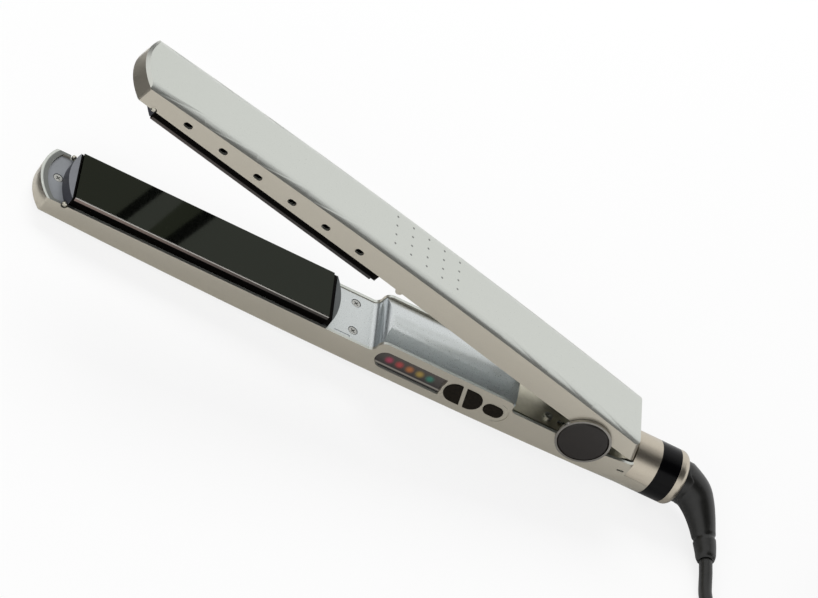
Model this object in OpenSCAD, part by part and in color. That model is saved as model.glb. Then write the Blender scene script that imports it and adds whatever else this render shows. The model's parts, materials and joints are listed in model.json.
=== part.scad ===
// Hair straightener: two hinged arms with fixed heating plates, controls in the
// near side wall of the lower arm and a swivel cord.
// Millimetres, +Z up, +X toward the cord, -Y the side with the controls.
// The origin is the middle of the flat on the lower arm's back, on which the
// iron rests together with its rear ring.
// Both arms are drawn in one arm frame: X from the highest point of the back,
// Z outward from the mid plane between the plates.

/* [Arms] */
// Width over the side walls
arm_w = 31; // [29:0.5:36]
// Height of the crease between side wall and back, from the mid plane
crease_h = 16.5; // [15.5:0.1:19]
// Radius of the lengthwise bow of the backs
bow_r = 3745; // [3200:5:6000]
// Radius of the roll between side wall and back
roll_r = 7; // [4:0.5:8]
// Angle of the roll where it meets the crease
roll_angle = 40; // [30:1:45]
// Thickness of the side walls
wall_t = 1.5; // [1.2:0.1:2]
// Thickness of the backs
skin_t = 1.8; // [1.4:0.1:2.2]
// Height of the side walls' inner edge from the mid plane, beside the plates
edge_h = 5.45; // [5.2:0.05:6]
// Length of the tip in front of the plates
tip_l = 15.5; // [14:0.5:20]
// Radius of the tip in plan
tip_r = 26.5; // [22:0.5:40]
// Radius of the corners where the tip meets the side walls
tip_corner_r = 1.5; // [0.5:0.5:3]
// Width of the bevel round the tip's outer edge
tip_bevel = 1.2; // [0.4:0.1:1.6]
// Thickness of the shell round the tip
tip_rim = 3.3; // [2:0.1:4]

/* [Plates] */
// Length of the heating plates
plate_l = 120; // [90:1:124]
// Width of the heating plates
plate_w = 28.4; // [26:0.2:28.6]
// Distance of the plates' front end from the highest point of the backs
plate_front = 144; // [130:1:150]
// Thickness of the plates' working face
plate_t = 2.2; // [1.6:0.1:2.4]
// Thickness of the plates' side skirts
skirt_t = 1.8; // [1.2:0.1:2.5]
// Width of the heating elements
heater_w = 16; // [12:0.5:20]
// Rounding of the plates' long edges
plate_edge_r = 0.6; // [0.2:0.1:0.9]
// Thickness of the heating elements
heater_t = 2.6; // [2:0.1:3]
// Gap between the closed plates
plate_gap = 0.1; // [0.1:0.05:1]
// Thickness of the plate carriers
carrier_t = 2.5; // [1.5:0.1:3.5]
// Diameter of the posts under the carriers
post_d = 6; // [4:0.5:8]

/* [Plate ends] */
// Depth of the tip insert's face below the mid plane
insert_h = 6.5; // [6:0.1:8]
// Thickness of the tip inserts
insert_t = 1.8; // [1.6:0.1:2.5]
// Distance between plate and front spacer
front_gap = 1; // [0.5:0.1:2]
// Length of the front spacer at its middle
front_spacer_l = 3.5; // [2:0.1:5]
// Distance between plate and rear spacer
rear_gap = 2; // [1:0.1:2.5]
// Length of the rear spacer at its middle
rear_spacer_l = 2.8; // [2:0.1:3.6]
// Height of the spacers below the mid plane
spacer_h = 1; // [0.6:0.1:3]
// Slope of the front spacer's flank, at its foot
flank_run = 0.5; // [0:0.1:0.8]
// Diameter of the half-round notch in the wall beside the front spacer
notch_d = 3; // [2:0.5:4]

/* [Inner covers] */
// Depth of the covers' flat part below the mid plane
cover_h = 5.8; // [5.5:0.1:6.5]
// Thickness of the covers
cover_t = 1.8; // [1.6:0.1:2]
// Length of the lower cover's flat part behind the plate
cover_flat_l = 22; // [20:0.5:24]
// Height of the raised cover above the mid plane, at its middle
crown_h = 2.6; // [1:0.1:3]
// Radius of the raised cover's crown
crown_r = 39.2; // [35:0.2:60]
// Rear end of the covers, from the highest point of the backs
cover_end = 68; // [66:0.5:69]
// Height of the lower side wall beside the raised cover
rail_h = 1.4; // [0.5:0.1:2]
// Width of the seam round the lower cover's clip tab
tab_seam = 0.35; // [0.25:0.05:0.5]
// Length and width of that tab
tab_size = [7.5, 1.6];
// Concave radius at the foot of the step
step_foot_r = 3; // [2:0.1:3.2]
// Concave radius at the foot of the raised cover
crown_foot_r = 3.4; // [2:0.1:4]
// Depth of the lower side wall's edge at the hinge
rear_edge_h = 3.4; // [2.5:0.1:4]
// Where the lower side wall starts to fall, from the highest point of the backs
fall_x = 65; // [62:0.5:66]

/* [Upper arm] */
// Height of the upper side wall's edge in front of the hinge
upper_edge_h = 4; // [3.5:0.1:5]
// Height of the upper side wall's edge behind the hinge
upper_rear_h = 6; // [5:0.1:7]
// Rear end of the upper arm at its back, from the highest point
upper_back_end = 121; // [118:0.5:123]
// Rear end of the upper arm at its lower edge
upper_edge_end = 126.7; // [123:0.1:127]
// Radius of the upper arm's rear corners
rear_corner_r = 2.5; // [1:0.5:4]
// Thickness of the upper arm's rear wall
rear_wall_t = 2; // [1.5:0.1:3]
// Diameter of the round lugs on the side walls' edges
lug_d = 3.6; // [2:0.2:4.4]
// Number of vents in each side wall
vent_n = 6; // [0:1:6]
// Distance between vents
vent_pitch = 18.75; // [10:0.25:20]
// Length of a vent
vent_l = 4.2; // [3:0.1:8]
// Height of a vent
vent_h = 2.6; // [1.5:0.1:3]
// Height of the vents' middle from the mid plane
vent_z = 9.6; // [9:0.1:10.5]
// Diameter of the dimples in the back
dimple_d = 1.6; // [1:0.1:2.4]
// Radius of the dimples' hollow
dimple_r = 2; // [1.5:0.1:4]
// Dimples along and across the back
dimple_grid = [5, 4];
// Distance between dimples along and across the back
dimple_pitch = [8.9, 5.5];
// Middle of the dimple field
dimple_at = [-8.3, 1.5];

/* [Hinge] */
// Hinge axis, from the highest point of the backs
hinge_x = 102.2; // [100:0.1:104]
// Angle between the open arms
open_angle = 12.8; // [8:0.1:12.8]
// Diameter of the hinge pin
pin_d = 4; // [3:0.1:4.6]
// Radial running clearance of the pin
pin_clear = 0.05; // [0.02:0.01:0.08]
// Diameter of the knuckle's eye
eye_d = 8.2; // [7.2:0.1:8.4]
// Width of the knuckle
knuckle_w = 13; // [9:0.5:14]
// Height of the knuckle's plate above the hinge axis
knuckle_h = 10; // [9:0.1:11]
// Radius of the knuckle's rounded nose
nose_r = 5; // [4:0.1:5.5]
// Distance of the nose's middle in front of the hinge axis
nose_l = 24.2; // [20:0.1:25]
// Thickness of the hinge frame's sheet
frame_t = 1.5; // [1.2:0.1:2]
// Depth of the hinge frame's deck below the mid plane
deck_h = 4.5; // [4.4:0.05:5]
// Width over the hinge frame's ears
ear_w = 23.8; // [20:0.2:25]
// Diameter of the ears
ear_d = 13; // [10:0.5:14]
// Diameter of the black hinge caps
cap_d = 22.6; // [18:0.2:24]
// Width of the bright rings round the caps
ring_w = 1; // [0.6:0.1:2]
// Thickness of the bright rings
ring_t = 1.2; // [0.8:0.1:2]
// Height of the caps above the rings
cap_rise = 0.3; // [0.1:0.1:1]
// Width of the caps' bevel
cap_bevel = 0.8; // [0.3:0.1:1]
// Diameter of the caps' hubs
hub_d = 12; // [8:0.5:13]
// Wire of the opening spring
spring_wire = 1; // [0.8:0.1:1.2]
// Turns of each spring coil
spring_turns = 2.5; // [1.5:1:2.5]
// Clearance between moving parts
clear = 0.3; // [0.2:0.05:0.4]

/* [Controls] */
// Front end of the display window, from the highest point of the backs
window_x = 3; // [2.6:0.1:5]
// Length of the display window
window_l = 33; // [28:0.5:33.5]
// Height of the display window
window_h = 9.8; // [7:0.1:10]
// Depth of the window's middle below the mid plane
window_z = 7.4; // [7:0.1:7.8]
// Thickness of the display lens
lens_t = 1.2; // [0.8:0.1:1.6]
// Width of the seam round the control panel's rear end
seam_w = 0.3; // [0.2:0.05:0.4]
// Distance of that seam from the power button
seam_gap = 2.4; // [1.5:0.1:2.8]
// Margin of the lens behind the wall
lens_lip = 0.5; // [0.4:0.1:0.5]
// Number of lights
light_n = 5; // [1:1:6]
// Size of a light along and across the window
light_size = [2.6, 3.2];
// Distance between lights
light_pitch = 5; // [3.5:0.1:5]
// First light, from the window's front end
light_x = 6.6; // [5:0.1:8]
// Front end of the double button, from the highest point of the backs
double_x = 37; // [37:0.1:37.6]
// Length of the double button
double_l = 18; // [15:0.1:18.2]
// Height of the double button
double_h = 10.3; // [8:0.1:10.4]
// Depth of the buttons' middle below the mid plane
button_z = 7.1; // [7:0.05:7.4]
// Width of the slanted rib between the two halves
rib_w = 1.8; // [1.2:0.1:2.4]
// Slant of that rib
rib_slant = 17; // [0:1:20]
// Length of the power button
power_l = 9.1; // [7:0.1:9.4]
// Height of the power button
power_h = 6.2; // [5:0.1:7]
// Middle of the power button, from the highest point of the backs
power_x = 61; // [60.8:0.1:61.2]
// Gap round the buttons
button_clear = 0.15; // [0.1:0.05:0.2]
// Rise of the buttons above the wall
button_rise = 0.4; // [0.2:0.1:1]
// Travel of the buttons
button_travel = 0.5; // [0.2:0.05:0.5]
// Thickness of the buttons' flange
flange_t = 1; // [0.8:0.1:1.2]
// Width of the buttons' flange beyond their sides
flange_w = 0.5; // [0.3:0.1:0.6]
// Thickness of the control board
board_t = 1.6; // [1:0.1:2]

/* [Rear end] */
// Radius of the collar and rings
rear_r = 12.7; // [12:0.1:13.2]
// Depth of their axis below the mid plane
rear_drop = 10.9; // [10.5:0.1:11.5]
// Where the lower arm starts to turn round, from the highest point of the backs
morph_x = 112; // [112:0.5:114]
// Front of the collar
collar_x = 130; // [130:0.5:131.5]
// Length of the collar
collar_l = 12; // [9:0.5:16]
// Length of the black ring
black_l = 10; // [8.5:0.5:14]
// Length of the bright end ring
end_l = 5; // [3.5:0.5:7]
// Clip slots beside the collar, along and across
clip_slot = [3.4, 0.9];
// Rounding of the end ring
end_round = 3; // [1:0.5:3]
// Wall of the round rear end
rear_t = 1.5; // [1.2:0.1:2]
// Diameter of the swivel's neck
neck_d = 8; // [6:0.5:9]
// Diameter of the swivel's core
core_d = 20.2; // [18:0.1:20.6]
// Diameter of the strain relief at the ring
boot_d = 19.6; // [16:0.2:19.8]
// Diameter of the strain relief's far end
boot_end_d = 10.6; // [9:0.2:11]

/* [Cord] */
// Diameter of the cord
cord_d = 6; // [5:0.5:6]
// Middle radius of the coil
coil_r = 36; // [30:1:40]
// Turns side by side and one above the other
coil_turns = [3, 4];
// Width of the tie round the coil
tie_w = 8; // [5:0.5:15]
// Thickness of the tie
tie_t = 1; // [0.8:0.1:1.5]
// Length of the plug's body
plug_l = 36; // [30:1:45]
// Width of the plug's body
plug_w = 26; // [25:0.5:30]
// Height of the plug's body
plug_h = 13.7; // [12:0.1:16]
// Diameter of the plug's pins
plug_pin_d = 4; // [3.5:0.1:5]
// Length of the plug's pins
plug_pin_l = 19; // [15:0.5:20]
// Distance between the plug's pins
plug_pitch = 18.6; // [17:0.1:19]

/* [Screws] */
// Diameter of the screws' shank
screw_d = 2; // [1.6:0.1:2.4]
// Diameter of the screws' head
screw_head_d = 4; // [3:0.1:4.4]
// Height of the screws' head
screw_head_h = 1.1; // [0.8:0.1:1.4]
// Length of the screws' shank
screw_l = 5; // [3:0.5:5.5]
// Depth of the screws' heads below the covers' faces
screw_sink = 0.15; // [0:0.05:0.3]
// Clearance round a screw
screw_clear = 0.04; // [0.02:0.01:0.1]
// Gap round a sunk screw's head
seat_gap = 0.3; // [0.1:0.05:0.5]
// Diameter of the screw bosses
boss_d = 6; // [5:0.5:7]

/* [Resting] */
// Depth of the flat on the lower arm's back
flat_depth = 0.1; // [0.05:0.05:0.3]

/* [Hidden] */
$fn = 64;

// Arms
half_w = arm_w / 2;
roll_y = half_w - roll_r * sin(roll_angle);
arm_top = crease_h + roll_r * (1 - cos(roll_angle));
section_depth = 40;
tip_x = -plate_front - tip_l;
bow_sweep = 2 * asin(1.06 * (plate_front + tip_l) / bow_r);
bow_segments = 24;
in_half = half_w - wall_t;
in_tip_r = tip_r - tip_rim;
in_corner_r = tip_corner_r - 0.5;

// Plates
face_z = plate_gap / 2;
plate_bottom = face_z + plate_t + heater_t;
plate_back = -plate_front + plate_l;
carrier_bottom = plate_bottom + carrier_t;
carrier_side = in_half - 0.4;
carrier_windows = [0.22, 0.38, 0.62, 0.78];
carrier_window = [12, 10];
edge_lap = 0.3;

// Covers
flat_x = plate_back;
step_x = plate_back + cover_flat_l;
fall_r = (rear_edge_h + rail_h) / 2;
fall_end = fall_x + 2 * fall_r;
cover_gap = 0.1;
cover_screw_x = plate_back + 0.65 * cover_flat_l;
cover_screw_y = 8.5;
insert_screw_x = tip_x + 0.54 * tip_l;
upper_cover_screw_x = cover_end - cover_screw_y;
seat_l = insert_t + cover_t;
lug_x = plate_back + 0.58 * cover_flat_l;
tab_y = -in_half + cover_gap;

// Hinge
ear_in = ear_w / 2 - frame_t;
deck_x = [cover_end + 1.5, collar_x - 2];
deck_corner = [7, 3];
deck_screws = [[86.5, 6.7], [110, 8]];
knuckle_screw_x = [84, 108];
knuckle_plate_t = 2;
knuckle_end = hinge_x + 10;
// Underside of the knuckle from the hinge axis: nose, hollow and eye
knuckle_sole = [[-nose_l, nose_r + 0.2], [2 - nose_l, 1], [-10, 2], [0.4 - eye_d / 2, 1],
    [eye_d / 2 - 0.2, 1]];
spring_r = pin_d / 2 + 0.4 + spring_wire / 2;
spring_pitch = spring_wire + 0.1;
spring_legs = [11, 9];
spring_y = knuckle_w / 2 + 0.3 + spring_wire / 2;

// Controls
wall_in = -in_half;
lens_back = wall_in + lens_t;
switch_w = 3.6;
switch_h = 2.8;
plunger_d = 1.8;
plunger_l = 0.8;
board_y = wall_in + clear / 3 + flange_t + button_travel + switch_h;
board_x = [10, cover_end - 4];
board_z = [window_z - window_h / 2 - 0.3, 15.2];
button_top_z = button_z - double_h / 2;
rib_x = double_x + double_l / 2;
rib_post_x = [13, cover_end - 7];
rib_post_w = 3;
rib_wall = 1.6;

// Rear end
morph_end = collar_x + 2;
morph_lap = 2;
morph_step = 0.05;
collar_end = collar_x + collar_l;
black_end = collar_end + black_l;
rear_end = black_end + end_l;
rear_in = rear_r - rear_t;
clip_slot_z = rear_drop - 2.5;
spigot_l = 4;
bulkhead_t = 2;
neck_end = collar_end - 3;
clip_x = collar_end - 1.8;
clip_t = 1;
clip_wall = 1.5;
groove_depth = 0.8;

// How the iron rests: the lower arm's back and the round rear end touch the table
bow_mid = arm_top - bow_r;
rest_r = bow_r - flat_depth;
rest_depth = rear_drop + rear_r;
rest_tilt = acos(rest_r / norm([morph_end, rest_depth - bow_mid]))
    - atan2(morph_end, rest_depth - bow_mid);
rest_x = -bow_mid * sin(rest_tilt);
rest_z = rest_r + bow_mid * cos(rest_tilt);

// Cord: points of the route, from the strain relief to the coil
boot_route = [[276.5, -2.4, 12.6], [280.5, -6, 11], [284, -11.5, 9], [286.8, -18, 7],
    [288.6, -25, 6], [289.4, -31, 5.4]];
boot_sizes = [17.4, 16, 14.6, 13.2, 12, boot_end_d];
cord_route = [[289.8, -34.5, 4.9], [290.2, -38, 4.4], [290.6, -43, 3.6], [291, -48, 3.1],
    [292.4, -54, 3], [295.2, -60.5, 3], [299.3, -66.3, 3], [304.5, -71.2, 3],
    [310.7, -75.2, 3], [317.6, -78, 3], [325, -79.5, 3], [334, -80, 3], [346, -80, 3],
    [360, -80, 3], [376, -80, 3], [396, -80, 3]];
coil_at = [403, -38];
coil_w = coil_turns[0] * cord_d;
coil_h = coil_turns[1] * cord_d;
tie_slack = 0.05;
plug_tail = 14;
plug_neck_d = [cord_d + 1, 10];
plug_gap = 0.3;
plug_at = coil_at + [-16, -26];

// ---------- helpers ----------

// Height of the back's middle line at x
function back_z(x) = bow_mid + sqrt(bow_r * bow_r - x * x);

// Point of the lower arm's frame, Z up, in the resting frame
function rested(p) = [p[0] * cos(rest_tilt) - p[2] * sin(rest_tilt) + rest_x, p[1],
    p[0] * sin(rest_tilt) + p[2] * cos(rest_tilt) + rest_z];

module rest() translate([rest_x, 0, rest_z]) rotate([0, -rest_tilt, 0]) children();

module lower_arm() rest() mirror([0, 0, 1]) children();

module upper_arm() rest() translate([hinge_x, 0, 0]) rotate([0, open_angle, 0])
    translate([-hinge_x, 0, 0]) children();

// Outline in X and Z, extruded across the arm between y0 and y1
module across(y0, y1) translate([0, y1, 0]) rotate([90, 0, 0])
    linear_extrude(y1 - y0) children();

// Outline in Y and Z, extruded along the arm between x0 and x1
module along(x0, x1) translate([x0, 0, 0]) rotate([90, 0, 90])
    linear_extrude(x1 - x0) children();

// Outline in X and Y, extruded outward between z0 and z1
module outward(z0, z1) translate([0, 0, z0]) linear_extrude(z1 - z0) children();

// Round bar along Y
module y_bar(x, z, d, y0, y1) translate([x, y0, z]) rotate([-90, 0, 0])
    cylinder(d = d, h = y1 - y0);

// Round bar along X
module x_bar(z, r, x0, x1) translate([x0, 0, z]) rotate([0, 90, 0])
    cylinder(r = r, h = x1 - x0, $fn = 96);

// Slot with round ends, centred
module stadium(l, h) union() {
    square([l - h, h], center = true);
    for (s = [-1, 1]) translate([s * (l - h) / 2, 0]) circle(d = h);
}

// Swept tube: points, one radius for each, and the side vector of its rings
function tangent(p, i) = let(a = p[max(i - 1, 0)], b = p[min(i + 1, len(p) - 1)])
    (b - a) / norm(b - a);
function unit(v) = v / norm(v);
module sweep(p, r, up, sides) {
    n = len(p);
    points = [for (i = [0 : n - 1]) let(t = tangent(p, i), s = unit(cross(t, up)),
        u = cross(s, t)) for (k = [0 : sides - 1])
        p[i] + r[i] * (cos(360 * k / sides) * s + sin(360 * k / sides) * u)];
    faces = concat([[for (k = [0 : sides - 1]) k]],
        [[for (k = [sides - 1 : -1 : 0]) (n - 1) * sides + k]],
        [for (i = [0 : n - 2]) for (k = [0 : sides - 1])
            [i * sides + k, (i + 1) * sides + k,
             (i + 1) * sides + (k + 1) % sides, i * sides + (k + 1) % sides]]);
    polyhedron(points, faces, convexity = 6);
}

// ---------- arm shells ----------

// Cross-section of an arm, radius from the bow's centre against width
module bow_section(half, drop) {
    side = roll_r - sqrt(pow(roll_r - drop, 2) - pow(half - roll_y, 2));
    x0 = bow_r - section_depth;
    intersection() {
        translate([x0, -half]) square([section_depth - drop, 2 * half]);
        union() {
            translate([x0, -roll_y]) square([section_depth, 2 * roll_y]);
            translate([x0, -half]) square([section_depth - side, 2 * half]);
            for (s = [-1, 1]) translate([bow_r - roll_r, s * roll_y])
                circle(r = roll_r - drop, $fn = 72);
        }
    }
}

// Bowed bar with that section
module bowed(half, drop) translate([0, 0, bow_mid]) rotate([-90, 0, 0])
    rotate([0, 0, -90 - bow_sweep / 2])
    rotate_extrude(angle = bow_sweep, $fn = bow_segments * 360 / bow_sweep)
    bow_section(half, drop);

// Plan of an arm with its rounded tip
module plan(half, nose, corner, x_end) {
    mid = tip_x + tip_r;
    a = asin((half - corner) / (nose - corner));
    x0 = mid - (nose - corner) * cos(a);
    far = 1.4 * nose;
    union() {
        intersection() {
            translate([mid, 0]) circle(r = nose, $fn = 240);
            translate([mid, 0]) polygon([[0, 0], [-far * cos(a), far * sin(a)],
                [-far * cos(a), -far * sin(a)]]);
        }
        for (s = [-1, 1]) translate([x0, s * (half - corner)]) circle(r = corner, $fn = 32);
        translate([x0, -half]) square([x_end - x0, 2 * half]);
    }
}

// Everything inside the bevel round the tip
module tip_room() {
    mid = tip_x + tip_r;
    z = back_z(tip_x) - tip_bevel;
    translate([mid, 0, -section_depth / 2]) cylinder(r = tip_r, h = z + section_depth / 2, $fn = 240);
    translate([mid, 0, z]) cylinder(r1 = tip_r, r2 = tip_r - 8, h = 8, $fn = 240);
    translate([mid - 0.6 * tip_r, -arm_w, -section_depth / 2])
        cube([2 * plate_front + collar_x, 2 * arm_w, 2 * section_depth]);
}

// Outline of a step: low in front and behind, raised between x0 and x1
module raised_edge(low0, high, low1, x0, x1, foot, x_end) {
    top = low0 - high - foot;
    fall = (low1 - high) / 2;
    depth = section_depth;
    translate([-2 * plate_front, low0]) square([2 * plate_front + x0 + foot, depth]);
    difference() {
        translate([x0, low0 - foot]) square(foot);
        translate([x0, low0 - foot]) circle(r = foot);
    }
    translate([x0 + foot, high + top]) square([x1 - x0 - foot, depth]);
    translate([x0 + foot + top, high]) square([x1 - x0 - foot - top, depth]);
    translate([x0 + foot + top, high + top]) circle(r = top);
    if (fall > 0) {
        translate([x1, high + fall]) circle(r = fall);
        translate([x1 - fall, high + fall]) square([2 * fall, depth]);
        difference() {
            translate([x1 + fall, high + fall]) square(fall);
            translate([x1 + 2 * fall, high + fall]) circle(r = fall);
        }
        translate([x1 + fall, low1]) square([x_end - x1 - fall, depth]);
    }
}

// Round rear end growing out of the arm's section
module rear_morph(half, drop, r) {
    x0 = morph_x - morph_lap;
    hull() {
        along(x0, morph_x) translate([0, back_z(morph_x) - bow_r]) rotate(90)
            bow_section(half - morph_step, drop + morph_step);
        x_bar(rear_drop, r - morph_step, morph_end - 0.2, morph_end);
    }
    x_bar(rear_drop, r, morph_end - 0.5, collar_end + (drop > 0 ? 1 : 0));
}

// Outer form of the lower arm, without the cut along its edge
module lower_outer() {
    intersection() {
        bowed(half_w, 0);
        outward(-section_depth / 2, section_depth) plan(half_w, tip_r, tip_corner_r, morph_x);
        tip_room();
    }
    rear_morph(half_w, 0, rear_r);
}

// Room inside the lower arm
module lower_room() {
    intersection() {
        bowed(in_half, skin_t);
        outward(-section_depth / 2, section_depth) plan(in_half, in_tip_r, in_corner_r, morph_x);
    }
    rear_morph(in_half, skin_t, rear_in);
}

module boss(x, y, z0) translate([x, y, z0]) cylinder(d = boss_d, h = back_z(x) - skin_t / 2 - z0);

module pilot(x, y, z0) translate([x, y, z0 - 1]) cylinder(r = screw_d / 2 + screw_clear,
    h = screw_l + 1 + 0.3, $fn = 32);

module carrier_posts() for (x = [0.1, 0.5, 0.9])
    translate([-plate_front + x * plate_l, 0, carrier_bottom])
    cylinder(d = post_d, h = back_z(-plate_front + x * plate_l) - skin_t / 2 - carrier_bottom);

// Half-round notches beside the front spacer
module edge_notches() y_bar(-plate_front - front_gap - notch_d / 2, edge_h, notch_d,
    -arm_w, arm_w);

module lower_shell() color("#b9b2a5") lower_arm() difference() {
    union() {
        difference() {
            intersection() {
                lower_outer();
                across(-arm_w, arm_w) difference() {
                    raised_edge(edge_h, -rail_h, rear_edge_h, step_x, fall_x, step_foot_r,
                        collar_end);
                    translate([collar_x, -section_depth]) square([collar_l + 1,
                        section_depth + rear_drop]);
                }
            }
            lower_room();
        }
        boss(insert_screw_x, 0, insert_h + insert_t);
        for (s = [-1, 1]) {
            boss(cover_screw_x, s * cover_screw_y, cover_h + cover_t);
            for (p = deck_screws) boss(p[0], s * p[1], deck_h + frame_t);
        }
        carrier_posts();
        for (x = rib_post_x)
            translate([x - rib_post_w / 2, board_y - rib_wall, board_z[1] - rib_post_w])
            cube([rib_post_w, board_t + 2 * rib_wall,
                back_z(x) - skin_t / 2 - board_z[1] + rib_post_w]);
    }
    // Room for what passes through or seats in the shell
    pilot(insert_screw_x, 0, insert_h + insert_t);
    for (s = [-1, 1]) {
        pilot(cover_screw_x, s * cover_screw_y, cover_h + cover_t);
        for (p = deck_screws) pilot(p[0], s * p[1], deck_h + frame_t);
    }
    translate([board_x[0], board_y - 0.05, board_z[0]])
        cube([board_x[1] - board_x[0], board_t + 0.1, board_z[1] - board_z[0] + 0.05]);
    edge_notches();
    y_bar(hinge_x, 0, hub_d + 2 * clear, -arm_w, arm_w);
    translate([collar_x - 1.5 * clip_slot[0], -arm_w, clip_slot_z])
        cube([clip_slot[0], 2 * arm_w, clip_slot[1]]);
    across(-arm_w, wall_in + 0.5) window_outline();
    across(-arm_w, -half_w + seam_w) panel_seam();
    across(-arm_w, wall_in + 0.5) button_hole();
    // Flat that the iron rests on
    rotate([0, -rest_tilt, 0]) translate([-2 * plate_front, -arm_w, rest_z])
        cube([2 * plate_front, 2 * arm_w, section_depth]);
}

// Outlines in the near wall
module window_outline() difference() {
    union() {
        translate([window_x + window_h / 2, window_z]) circle(d = window_h);
        translate([window_x + window_h / 2, window_z - window_h / 2])
            square([window_l - window_h / 2, window_h]);
    }
    translate([double_x + double_h / 2, button_z]) circle(d = double_h + 2.6);
}
module double_outline(grow) translate([double_x + double_l / 2, button_z])
    stadium(double_l + 2 * grow, double_h + 2 * grow);
module rib_line(w) translate([rib_x, button_z]) rotate(-rib_slant) square([w, 4 * double_h],
    center = true);
module power_outline(grow) translate([power_x, button_z])
    stadium(power_l + 2 * grow, power_h + 2 * grow);
module panel_seam() difference() {
    power_outline(seam_gap);
    power_outline(seam_gap - seam_w);
    translate([power_x - power_l, button_z - section_depth / 2]) square([1.2 * power_l, section_depth]);
}
module button_hole() {
    difference() {
        double_outline(button_clear);
        rib_line(rib_w);
    }
    power_outline(button_clear);
}

module upper_side() difference() {
    polygon([[-2 * plate_front, edge_h], [plate_back, edge_h], [0.75 * hinge_x, upper_edge_h],
        [hinge_x, upper_edge_h], [hinge_x, upper_rear_h], [2 * plate_front, upper_rear_h],
        [2 * plate_front, section_depth], [-2 * plate_front, section_depth]]);
    translate([hinge_x, 0]) circle(r = hub_d / 2 + clear);
}

// Rear cut of the upper arm, slanted from its back to its edge
rear_slant = atan2(upper_edge_end - upper_back_end, back_z(upper_back_end) - upper_rear_h);
module rear_room(inset) {
    length = upper_back_end - hinge_x + section_depth;
    w = half_w - inset + 0.001;
    r = rear_corner_r;
    translate([upper_back_end, 0, back_z(upper_back_end)]) rotate([0, -rear_slant, 0])
        translate([-inset, 0, -section_depth]) linear_extrude(3 * section_depth) {
            translate([-length, -w]) square([length - r, 2 * w]);
            translate([-length, -w + r]) square([length, 2 * (w - r)]);
            for (s = [-1, 1]) translate([-r, s * (w - r)]) circle(r = r, $fn = 32);
        }
    translate([-2 * plate_front, -arm_w, -section_depth])
        cube([2 * plate_front + hinge_x - 5, 2 * arm_w, 2 * section_depth]);
}

module upper_shell() color("#cdd0cb") upper_arm() difference() {
    union() {
        difference() {
            intersection() {
                bowed(half_w, 0);
                outward(-section_depth / 2, section_depth)
                    plan(half_w, tip_r, tip_corner_r, plate_front);
                tip_room();
                across(-arm_w, arm_w) upper_side();
                rear_room(0);
            }
            intersection() {
                bowed(in_half, skin_t);
                outward(-section_depth / 2, section_depth)
                    plan(in_half, in_tip_r, in_corner_r, plate_front);
                rear_room(rear_wall_t);
            }
        }
        boss(insert_screw_x, 0, insert_h + insert_t);
        for (s = [-1, 1]) {
            for (x = [cover_screw_x, upper_cover_screw_x])
                boss(x, s * cover_screw_y, cover_h + cover_t);
        }
        for (x = knuckle_screw_x) boss(x, 0, knuckle_h);
        carrier_posts();
        for (s = [-1, 1]) y_bar(lug_x, edge_h, lug_d, s > 0 ? in_half : -half_w,
            s > 0 ? half_w : -in_half);
    }
    pilot(insert_screw_x, 0, insert_h + insert_t);
    for (s = [-1, 1]) for (x = [cover_screw_x, upper_cover_screw_x])
        pilot(x, s * cover_screw_y, cover_h + cover_t);
    for (x = knuckle_screw_x) pilot(x, 0, knuckle_h);
    edge_notches();
    across(-arm_w, arm_w) for (i = [0 : 1 : vent_n - 1])
        translate([-plate_front + 12.5 + i * vent_pitch, vent_z]) stadium(vent_l, vent_h);
    for (i = [0 : dimple_grid[0] - 1], j = [0 : dimple_grid[1] - 1]) {
        x = dimple_at[0] + (i - (dimple_grid[0] - 1) / 2) * dimple_pitch[0];
        y = dimple_at[1] + (j - (dimple_grid[1] - 1) / 2) * dimple_pitch[1];
        translate([x, y, back_z(x) + sqrt(pow(dimple_r, 2) - pow(dimple_d / 2, 2))])
            sphere(r = dimple_r, $fn = 32);
    }
}

// ---------- plates, the same in both arms ----------

module plate_body() along(-plate_front, plate_back) difference() {
    union() {
        translate([-plate_w / 2, face_z + plate_edge_r]) square([plate_w,
            plate_bottom - face_z - plate_edge_r]);
        translate([-plate_w / 2 + plate_edge_r, face_z]) square([plate_w - 2 * plate_edge_r,
            plate_edge_r + 0.1]);
        for (s = [-1, 1]) translate([s * (plate_w / 2 - plate_edge_r), face_z + plate_edge_r])
            circle(r = plate_edge_r, $fn = 32);
    }
    translate([-plate_w / 2 + skirt_t, face_z + plate_t]) square([plate_w - 2 * skirt_t,
        heater_t + 1]);
}

module heater_body() translate([-plate_front + 0.05 * plate_l, -heater_w / 2, face_z + plate_t])
    cube([0.9 * plate_l, heater_w, heater_t]);

// Carrier tray, with rims that centre it between the walls
module carrier_body() difference() {
    translate([-plate_front + 0.5, -carrier_side, plate_bottom])
        cube([plate_l - 1, 2 * carrier_side, carrier_t]);
    for (x = carrier_windows) translate([-plate_front + x * plate_l - carrier_window[0] / 2,
        -carrier_window[1] / 2, plate_bottom + 1])
        cube([carrier_window[0], carrier_window[1], carrier_t]);
}

module insert_body() difference() {
    outward(insert_h, insert_h + insert_t) intersection() {
        plan(in_half - cover_gap, in_tip_r - cover_gap, in_corner_r, -plate_front - front_gap);
        translate([2 * tip_x, -arm_w]) square([-2 * tip_x - plate_front - front_gap, 2 * arm_w]);
    }
    screw_seat(insert_screw_x, 0, insert_h);
}

// Counterbore and hole for one screw, its head below the face
module screw_seat(x, y, z) {
    translate([x, y, z]) cylinder(r = screw_d / 2 + screw_clear, h = seat_l, $fn = 32);
    translate([x, y, z - 1]) cylinder(r = screw_head_d / 2 + seat_gap,
        h = 1 + screw_sink + screw_head_h, $fn = 48);
}

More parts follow.
